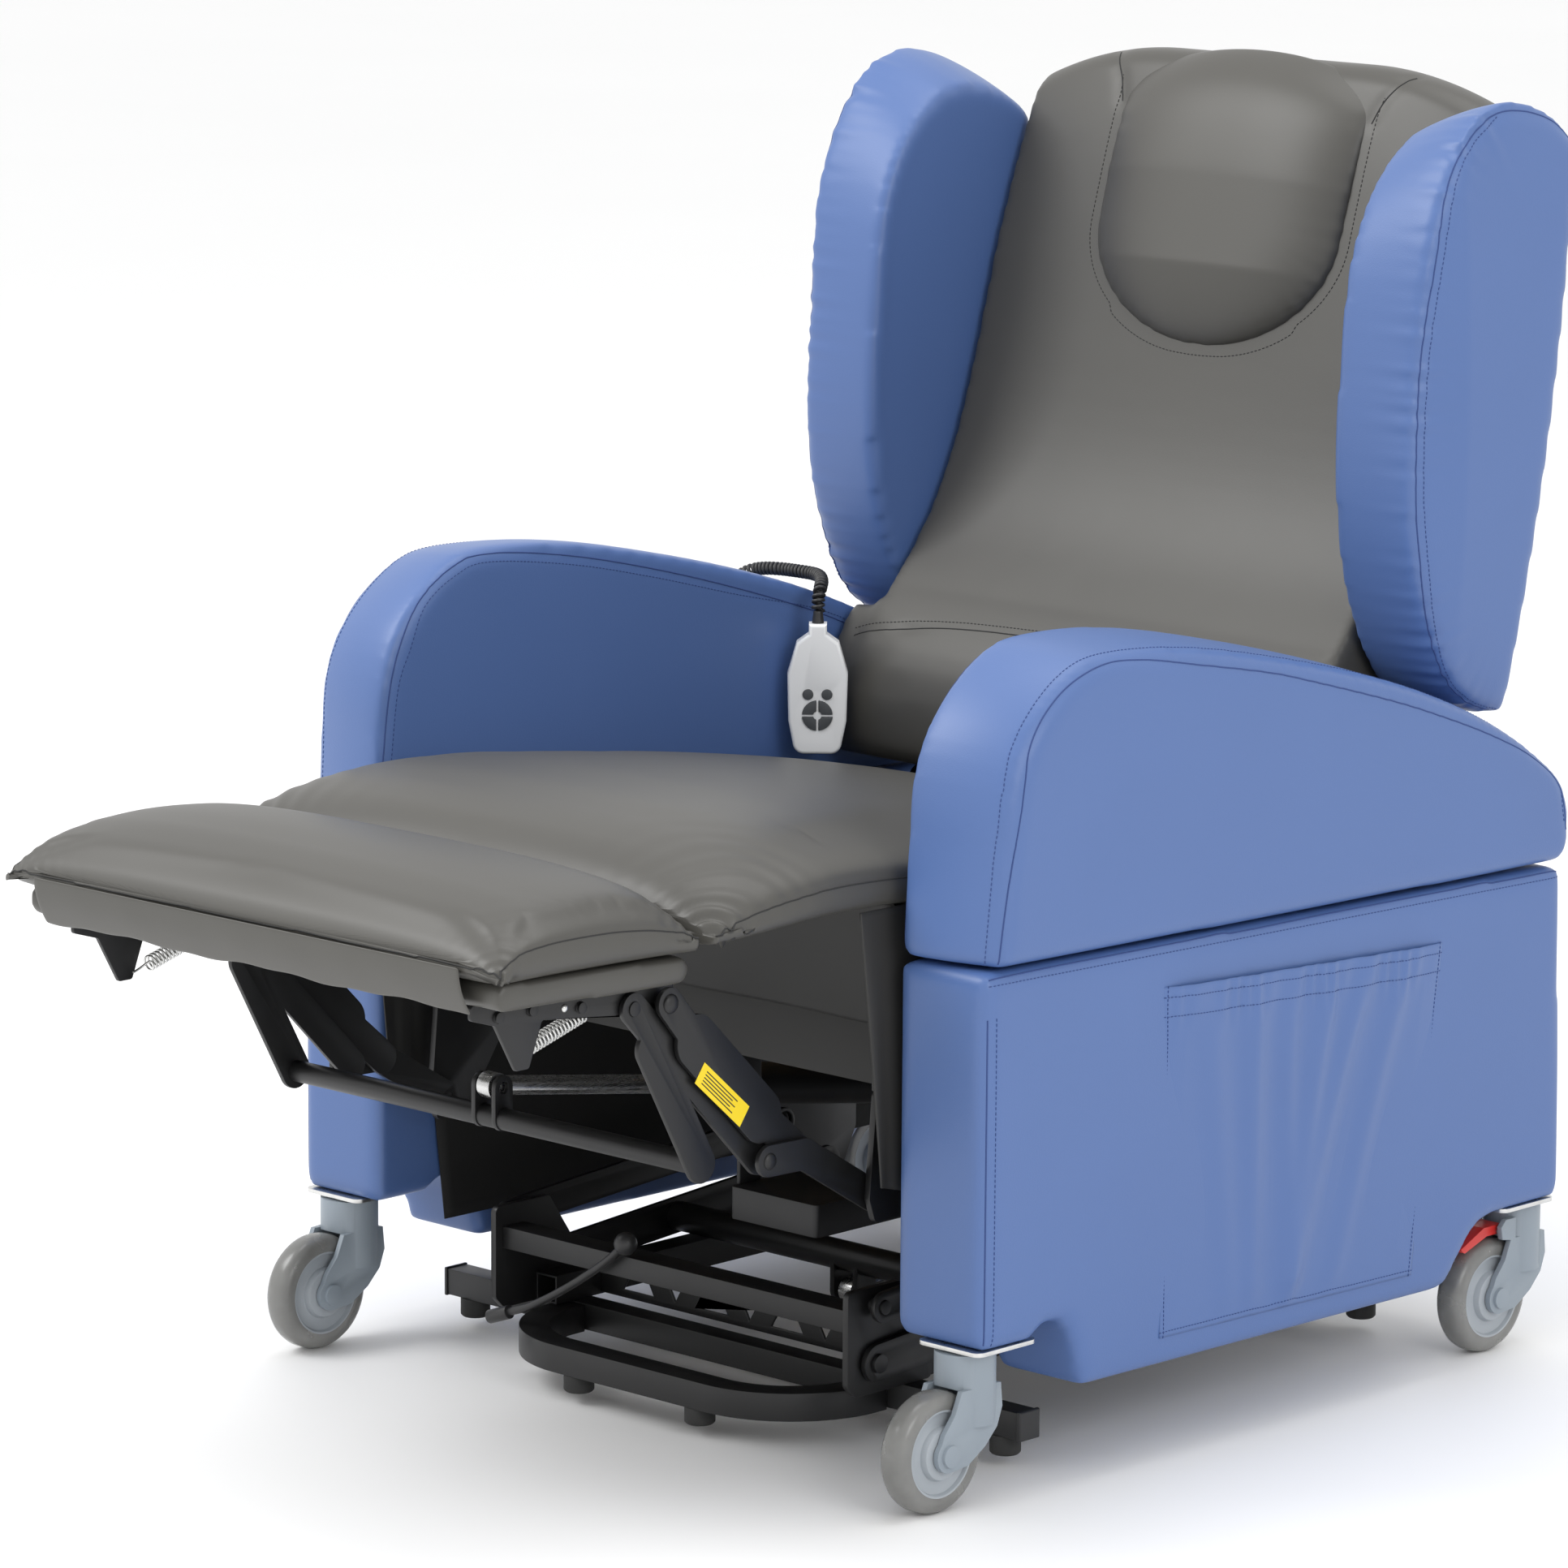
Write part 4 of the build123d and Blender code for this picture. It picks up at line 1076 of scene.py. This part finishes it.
pillow = loops_mesh("head_pillow_cover", loops)
sculpt(pillow, lambda place, normal: 0.0, [pillow_edge], 1.5, 5.0, [pillow_edge], 2.6, 17.0, 13.0)
pillow = subdivided(pillow, grey_vinyl)
sewn("head_pillow_cover", pillow, [pillow_edge], [], thread_grey, ["backrest"])
apart = [
    point + Vector((0.007 if point.x > 0 else -0.007, 0, -0.002 if abs(point.x) > 0.1 else -0.008))
    for point in pillow_edge
]
sewn("head_pillow_outline", back_piece, [], [apart], thread_grey, ["backrest"])
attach(pillow, "backrest")
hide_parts("head_pillow")

# ---- Back shell and rear panel ----
# The back's rear shell and the panel between the side panels, both blue vinyl over board.
upholstered(
    "back_cover_skin", "back_cover", blue_vinyl,
    lambda place, normal: 2.0 * max(0.0, normal.y), [], [], thread_blue,
    "backrest", voxel=7.0,
)
upholstered(
    "rear_panel_skin", "rear_panel", blue_vinyl,
    lambda place, normal: 1.5 * max(0.0, normal.y), [], [], thread_blue,
    "chair_frame", voxel=7.0,
)

# ---- Seat cushion ----
# One charcoal cushion under a stretch cover, domed high behind the knees. Its cover runs on over
# the hinge to the legrest, where both corners are pinched and pleated.
SEAT_CREST = [(-196, 500), (-188, 513), (-175, 523), (-150, 533), (-110, 541), (-60, 545), (0, 543),
              (60, 537), (171, 523), (320, 500), (473, 470), (545, 452)]
SEAT_SEAM = [(-196, 488), (-151, 495), (-105, 501), (-49, 504.5), (21, 502), (120, 492),
             (300, 466), (545, 436)]
SEAT_LOW = [(-196, 474), (-137, 478), (-54, 482), (21, 480), (50, 476), (62, 404), (545, 400)]


def across_pad(y, half, crest, seam, low, fullness, inset=2.0, top_steps=61):
    """One cross loop of a boxed pad: domed top, side seam, side strip and flat underside."""
    loop = []
    for index in range(top_steps):
        u = -1 + 2 * index / (top_steps - 1)
        u = u * (1.5 - 0.5 * u * u)
        loop.append(at(half * u, y, seam + (crest - seam) * max(0.0, 1 - abs(u) ** fullness) ** (1 / 2.2)))
    for side in (1, -1):
        share = [0.35, 0.7, 1.0] if side > 0 else [1.0, 0.7, 0.35]
        for part in share:
            out = half + 1.2 * sin(pi * part) - inset * part**3
            loop.append(at(side * out, y, seam + (low - seam) * part))
        if side > 0:
            loop += [at((half - inset) * (1 - 2 * index / 12), y, low) for index in range(1, 12)]
    return loop


loops = []
for y in [*[-196 + 3.2 * step for step in range(55)], *[-20 + 13.5 * step for step in range(1, 42)], 545]:
    half = 290 + 3 * min(1.0, max(0.0, (y + 196) / 120))
    loops.append(across_pad(y, half, ramp(SEAT_CREST, y), ramp(SEAT_SEAM, y), ramp(SEAT_LOW, y), 3.2))
seat = loops_mesh("seat_cushion_cover", loops)
SEAT_HALF = [(-196, 290), (-76, 293), (545, 293)]
seat_edge = [
    smooth_line([(side * ramp(SEAT_HALF, y), y, ramp(SEAT_SEAM, y)) for y in range(-194, 541, 14)])
    for side in (-1, 1)
]
clothed(seat, 3.0, 4.0)
sculpt(seat, lambda place, normal: 0.0, seat_edge, 2.4, 5.0)
seat = subdivided(seat, grey_vinyl)


def pinch(piece, corners, floor_z, dip, dip_reach, pleat, pleat_reach, first, growth):
    """Draws a cover down at its corners, with pleats in arcs round them that widen as they fade."""
    for vertex in piece.data.vertices:
        corner = min(corners, key=lambda spot: (vertex.co - spot).length)
        reach = (vertex.co - corner).length * 1000
        if vertex.co.z * 1000 > floor_z and reach < 5 * pleat_reach:
            side = abs(vertex.co.y - corner.y) * 1000
            turn = 0.5 + 0.5 * sin(2 * pi * (reach + 4 * sin(side * 0.06)) / (first + reach * growth))
            fold = pleat * turn * 2.718 ** (-reach / pleat_reach)
            hollow = dip * 2.718 ** (-((reach / dip_reach) ** 2))
            vertex.co.z -= (fold + hollow) / 1000


pinch(seat, [at(side * 290, -194, 491) for side in (-1, 1)], 487, 9, 42, 7.5, 42, 11.5, 0.05)
hinge = ["chair_frame", "legrest", at(0, -45, 500), at(0, -188, 500)]
sewn("seat_cushion_cover", seat, seat_edge, seat_edge, thread_grey, hinge)
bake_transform(seat)
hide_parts("seat_cushion", "knee_cover")

# ---- Legrest pad and board ----
# A boxed pad pinched to pointed corners, and a covered board whose front band joins the pad's
# front seam and is folded round at its ends.
PAD_CREST = [(-427, 494), (-420, 506), (-405, 517), (-385, 525), (-350, 533), (-305, 536), (-260, 534),
             (-230, 527), (-212, 515), (-199, 497)]
PAD_SEAM = [(-427, 493), (-390, 502), (-347, 504), (-303, 503), (-259, 499), (-225, 493), (-199, 489)]
PAD_LOW = [(-427, 487), (-410, 480), (-300, 476), (-199, 474)]
loops = []
for step in range(70):
    y = -427 + 228 * step / 69
    ends = 2.718 ** (-(((y + 427) / 26) ** 2)) + 0.5 * 2.718 ** (-(((y + 199) / 20) ** 2))
    half = 284 + 5 * ends
    loops.append(across_pad(y, half, ramp(PAD_CREST, y), ramp(PAD_SEAM, y), ramp(PAD_LOW, y), 3.4, 4.0))
pad = loops_mesh("legrest_pad_cover", loops)
pad_edge = [
    smooth_line([(side * 285, y, ramp(PAD_SEAM, y)) for y in range(-424, -199, 14)])
    for side in (-1, 1)
]
pad_edge.append(smooth_line([(x, -427, 492 - 3 * (1 - (x / 284) ** 2)) for x in range(-284, 285, 71)]))
clothed(pad, 3.0, 4.0)
sculpt(pad, lambda place, normal: 0.0, pad_edge, 2.0, 4.5)
pad = subdivided(pad, grey_vinyl)
tips = [at(side * 289, y, z) for side in (-1, 1) for y, z in ((-426, 495), (-200, 491))]
pinch(pad, tips, 486, 6, 26, 3.6, 24, 8, 0.05)
sewn("legrest_pad_cover", pad, pad_edge, pad_edge, thread_grey, ["legrest"])
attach(pad, "legrest")
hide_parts("legrest_pillow")


def board_swell(place, normal):
    """Slack waves along the board's underside edge."""
    return 1.0 + 1.2 * sin(place.x * 44) * max(0.0, -normal.z)


upholstered(
    "legrest_board_cover", "legrest_board", grey_vinyl, board_swell, [], [], thread_grey, "legrest",
    voxel=5.0,
)

BAND_STEPS = 90
BAND_ROWS = 11
points, faces = [], []
for column in range(BAND_STEPS + 1):
    x = -246 + 492 * column / BAND_STEPS
    slack = sin(column * 0.55) * 0.5 + sin(column * 0.21 + 1) * 0.9
    for row in range(BAND_ROWS):
        share = row / (BAND_ROWS - 1)
        bulge = 3.0 * sin(pi * share)
        points.append(at(x, -426 + 13 * share - bulge + slack * share, 489 - (38 + slack * 1.6) * share))
for column in range(BAND_STEPS):
    firsts = range(column * BAND_ROWS, column * BAND_ROWS + BAND_ROWS - 1)
    faces += [(one, one + 1, one + BAND_ROWS + 1, one + BAND_ROWS) for one in firsts]
band_mesh = bpy.data.meshes.new("legrest_front_band")
band_mesh.from_pydata(points, [], faces)
band = put("legrest_front_band", band_mesh, grey_vinyl)
thick = band.modifiers.new("thick", "SOLIDIFY")
thick.thickness = 0.0016
thick.offset = 1.0
band = subdivided(band, grey_vinyl)
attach(band, "legrest")

# ---- Pocket and linings ----
# A slack blue pocket sewn to the left panel on three sides, gathered on elastic at its hem. Dark
# stretch lining hangs under the seat's front and along the panels' inner faces.
POCKET = [(214, 399), (575, 383), (542, 100), (217, 106)]
POCKET_FOLDS = [(0.15, 0.12, 0.05, 3.6), (0.31, 0.04, 0.04, 6.0), (0.43, 0.06, 0.035, 4.2),
                (0.58, -0.1, 0.04, 6.4), (0.71, -0.22, 0.04, 5.8), (0.86, -0.2, 0.04, 4.4)]


def in_pocket(across_it, down_it):
    """Side-view point of the pocket from two fractions, as (y, z)."""
    a, b, c, d = (Vector(corner) for corner in POCKET)
    return a.lerp(b, across_it).lerp(d.lerp(c, across_it), down_it)


def pocket_depth(across_it, down_it):
    """How far the slack cloth stands off the panel, in millimetres."""
    edge = min(1.0, 14 * across_it, 14 * (1 - across_it), 12 * (1 - down_it)) ** 0.7
    mouth = 4.0 * 2.718 ** (-((down_it / 0.25) ** 2))
    drape = 0.0
    for centre_across, lean, width, height in POCKET_FOLDS:
        offset = across_it - centre_across - lean * down_it
        drape += (
            height * 2.718 ** (-((offset / width) ** 2))
            * (1 - 0.6 * down_it) * min(1.0, 0.25 + 5 * down_it)
        )
    gather = (
        0.9 * sin(across_it * 118 + 3 * sin(across_it * 23))
        * 2.718 ** (-(((down_it - 0.05) / 0.07) ** 2))
    )
    return 1.2 + edge * (mouth + drape + gather + 1.0)


columns, rows_down = 150, 100
points, faces = [], []
for column in range(columns + 1):
    for row in range(rows_down + 1):
        across_it, down_it = column / columns, row / rows_down
        y, z = in_pocket(across_it, down_it)
        points.append(at(397.4 + pocket_depth(across_it, down_it), y, z))
for column in range(columns):
    for row in range(rows_down):
        corner = column * (rows_down + 1) + row
        faces.append((corner, corner + rows_down + 1, corner + rows_down + 2, corner + 1))
pocket_mesh = bpy.data.meshes.new("side_pocket_cloth")
pocket_mesh.from_pydata(points, [], faces)
pocket = put("side_pocket_cloth", pocket_mesh, None)
shape = bmesh.new()
shape.from_mesh(pocket_mesh)
bmesh.ops.recalc_face_normals(shape, faces=shape.faces)
if sum(face.normal.x for face in shape.faces) < 0:
    bmesh.ops.reverse_faces(shape, faces=shape.faces)
shape.to_mesh(pocket_mesh)
shape.free()
hems = [
    smooth_line([(408, *in_pocket(across_it / 12, down_it)) for across_it in range(13)])
    for down_it in (0.03, 0.085)
]
sculpt(pocket, lambda place, normal: 0.0, hems, 0.8, 2.2)
thick = pocket.modifiers.new("thick", "SOLIDIFY")
thick.thickness = 0.0011
thick.offset = -1.0
pocket = subdivided(pocket, blue_vinyl, 0)
sides = [
    smooth_line([(408, *in_pocket(place_across, down_it / 9)) for down_it in range(10)])
    for place_across in (0.012, 0.988)
]
foot = smooth_line([(408, *in_pocket(across_it / 12, 0.985)) for across_it in range(13)])
sewn(
    "side_pocket_cloth", pocket, [], [*hems, *sides, foot], thread_blue,
    ["chair_frame"], 3.6,
)
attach(pocket, "chair_frame")
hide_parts("side_pocket")

lining, tree, shader, spot = finish("dark_lining", Roughness=0.8)
weave = node(tree, "ShaderNodeTexWave", inputs={"Vector": spot, "Scale": 700, "Distortion": 1.5})
shade = blend_colours(tree, noise(tree, spot, 9), (0.003, 0.003, 0.003), (0.006, 0.006, 0.006))
feed(shader, "Base Color", shade)
bump(tree, shader, weave, 0.3, 0.0003)
stretch_grey, tree, shader, spot = finish("grey_stretch_lining", Roughness=0.62)
shade = blend_colours(tree, noise(tree, spot, 7), (0.018, 0.018, 0.017), (0.027, 0.026, 0.025))
feed(shader, "Base Color", shade)
bump(tree, shader, noise(tree, spot, 900, 2.0), 0.15, 0.0003)
dressed("seat_valance", stretch_grey, 0.3)


def hanging(name, corners, out, folds, material, outward=Vector((1, 0, 0))):
    """A hanging cloth between four corners, bulged outward with soft vertical folds."""
    steps_across, steps_down = 48, 32
    points, faces = [], []
    a, b, c, d = (at(*corner) for corner in corners)
    for column in range(steps_across + 1):
        for row in range(steps_down + 1):
            u, v = column / steps_across, row / steps_down
            point = a.lerp(b, u).lerp(d.lerp(c, u), v)
            bow = out * sin(pi * u) ** 0.6 * sin(pi * min(1.0, v * 0.9 + 0.05))
            push = bow + folds * sin(u * 17 + 2 * v) * v
            points.append(point + outward * push / 1000)
    for column in range(steps_across):
        for row in range(steps_down):
            corner = column * (steps_down + 1) + row
            faces.append((corner, corner + 1, corner + steps_down + 2, corner + steps_down + 1))
    mesh = bpy.data.meshes.new(name)
    mesh.from_pydata(points, [], faces)
    cloth = put(name, mesh, material)
    thick = cloth.modifiers.new("thick", "SOLIDIFY")
    thick.thickness = 0.0012
    thick.offset = 0.0
    cloth = subdivided(cloth, material, 0)
    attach(cloth, "chair_frame")


for side in (-1, 1):
    label = "left" if side > 0 else "right"
    skirt = [(side * 298, 40, 428), (side * 298, 700, 418), (side * 298, 700, 100), (side * 298, 78, 108)]
    hanging(f"panel_lining_{label}", skirt, -side * 2.5, 0.8, lining)
    flap = [(side * 284, -22, 478), (side * 284, 64, 478), (side * 286, 60, 236), (side * 286, 2, 250)]
    hanging(f"seat_side_cloth_{label}", flap, side * 5, 1.2, stretch_grey)
apron = [(-282, 20, 479), (282, 20, 479), (278, 61, 366), (-278, 61, 366)]
hanging("seat_front_cloth", apron, -6, 1.0, stretch_grey, Vector((0, 1, 0.3)))
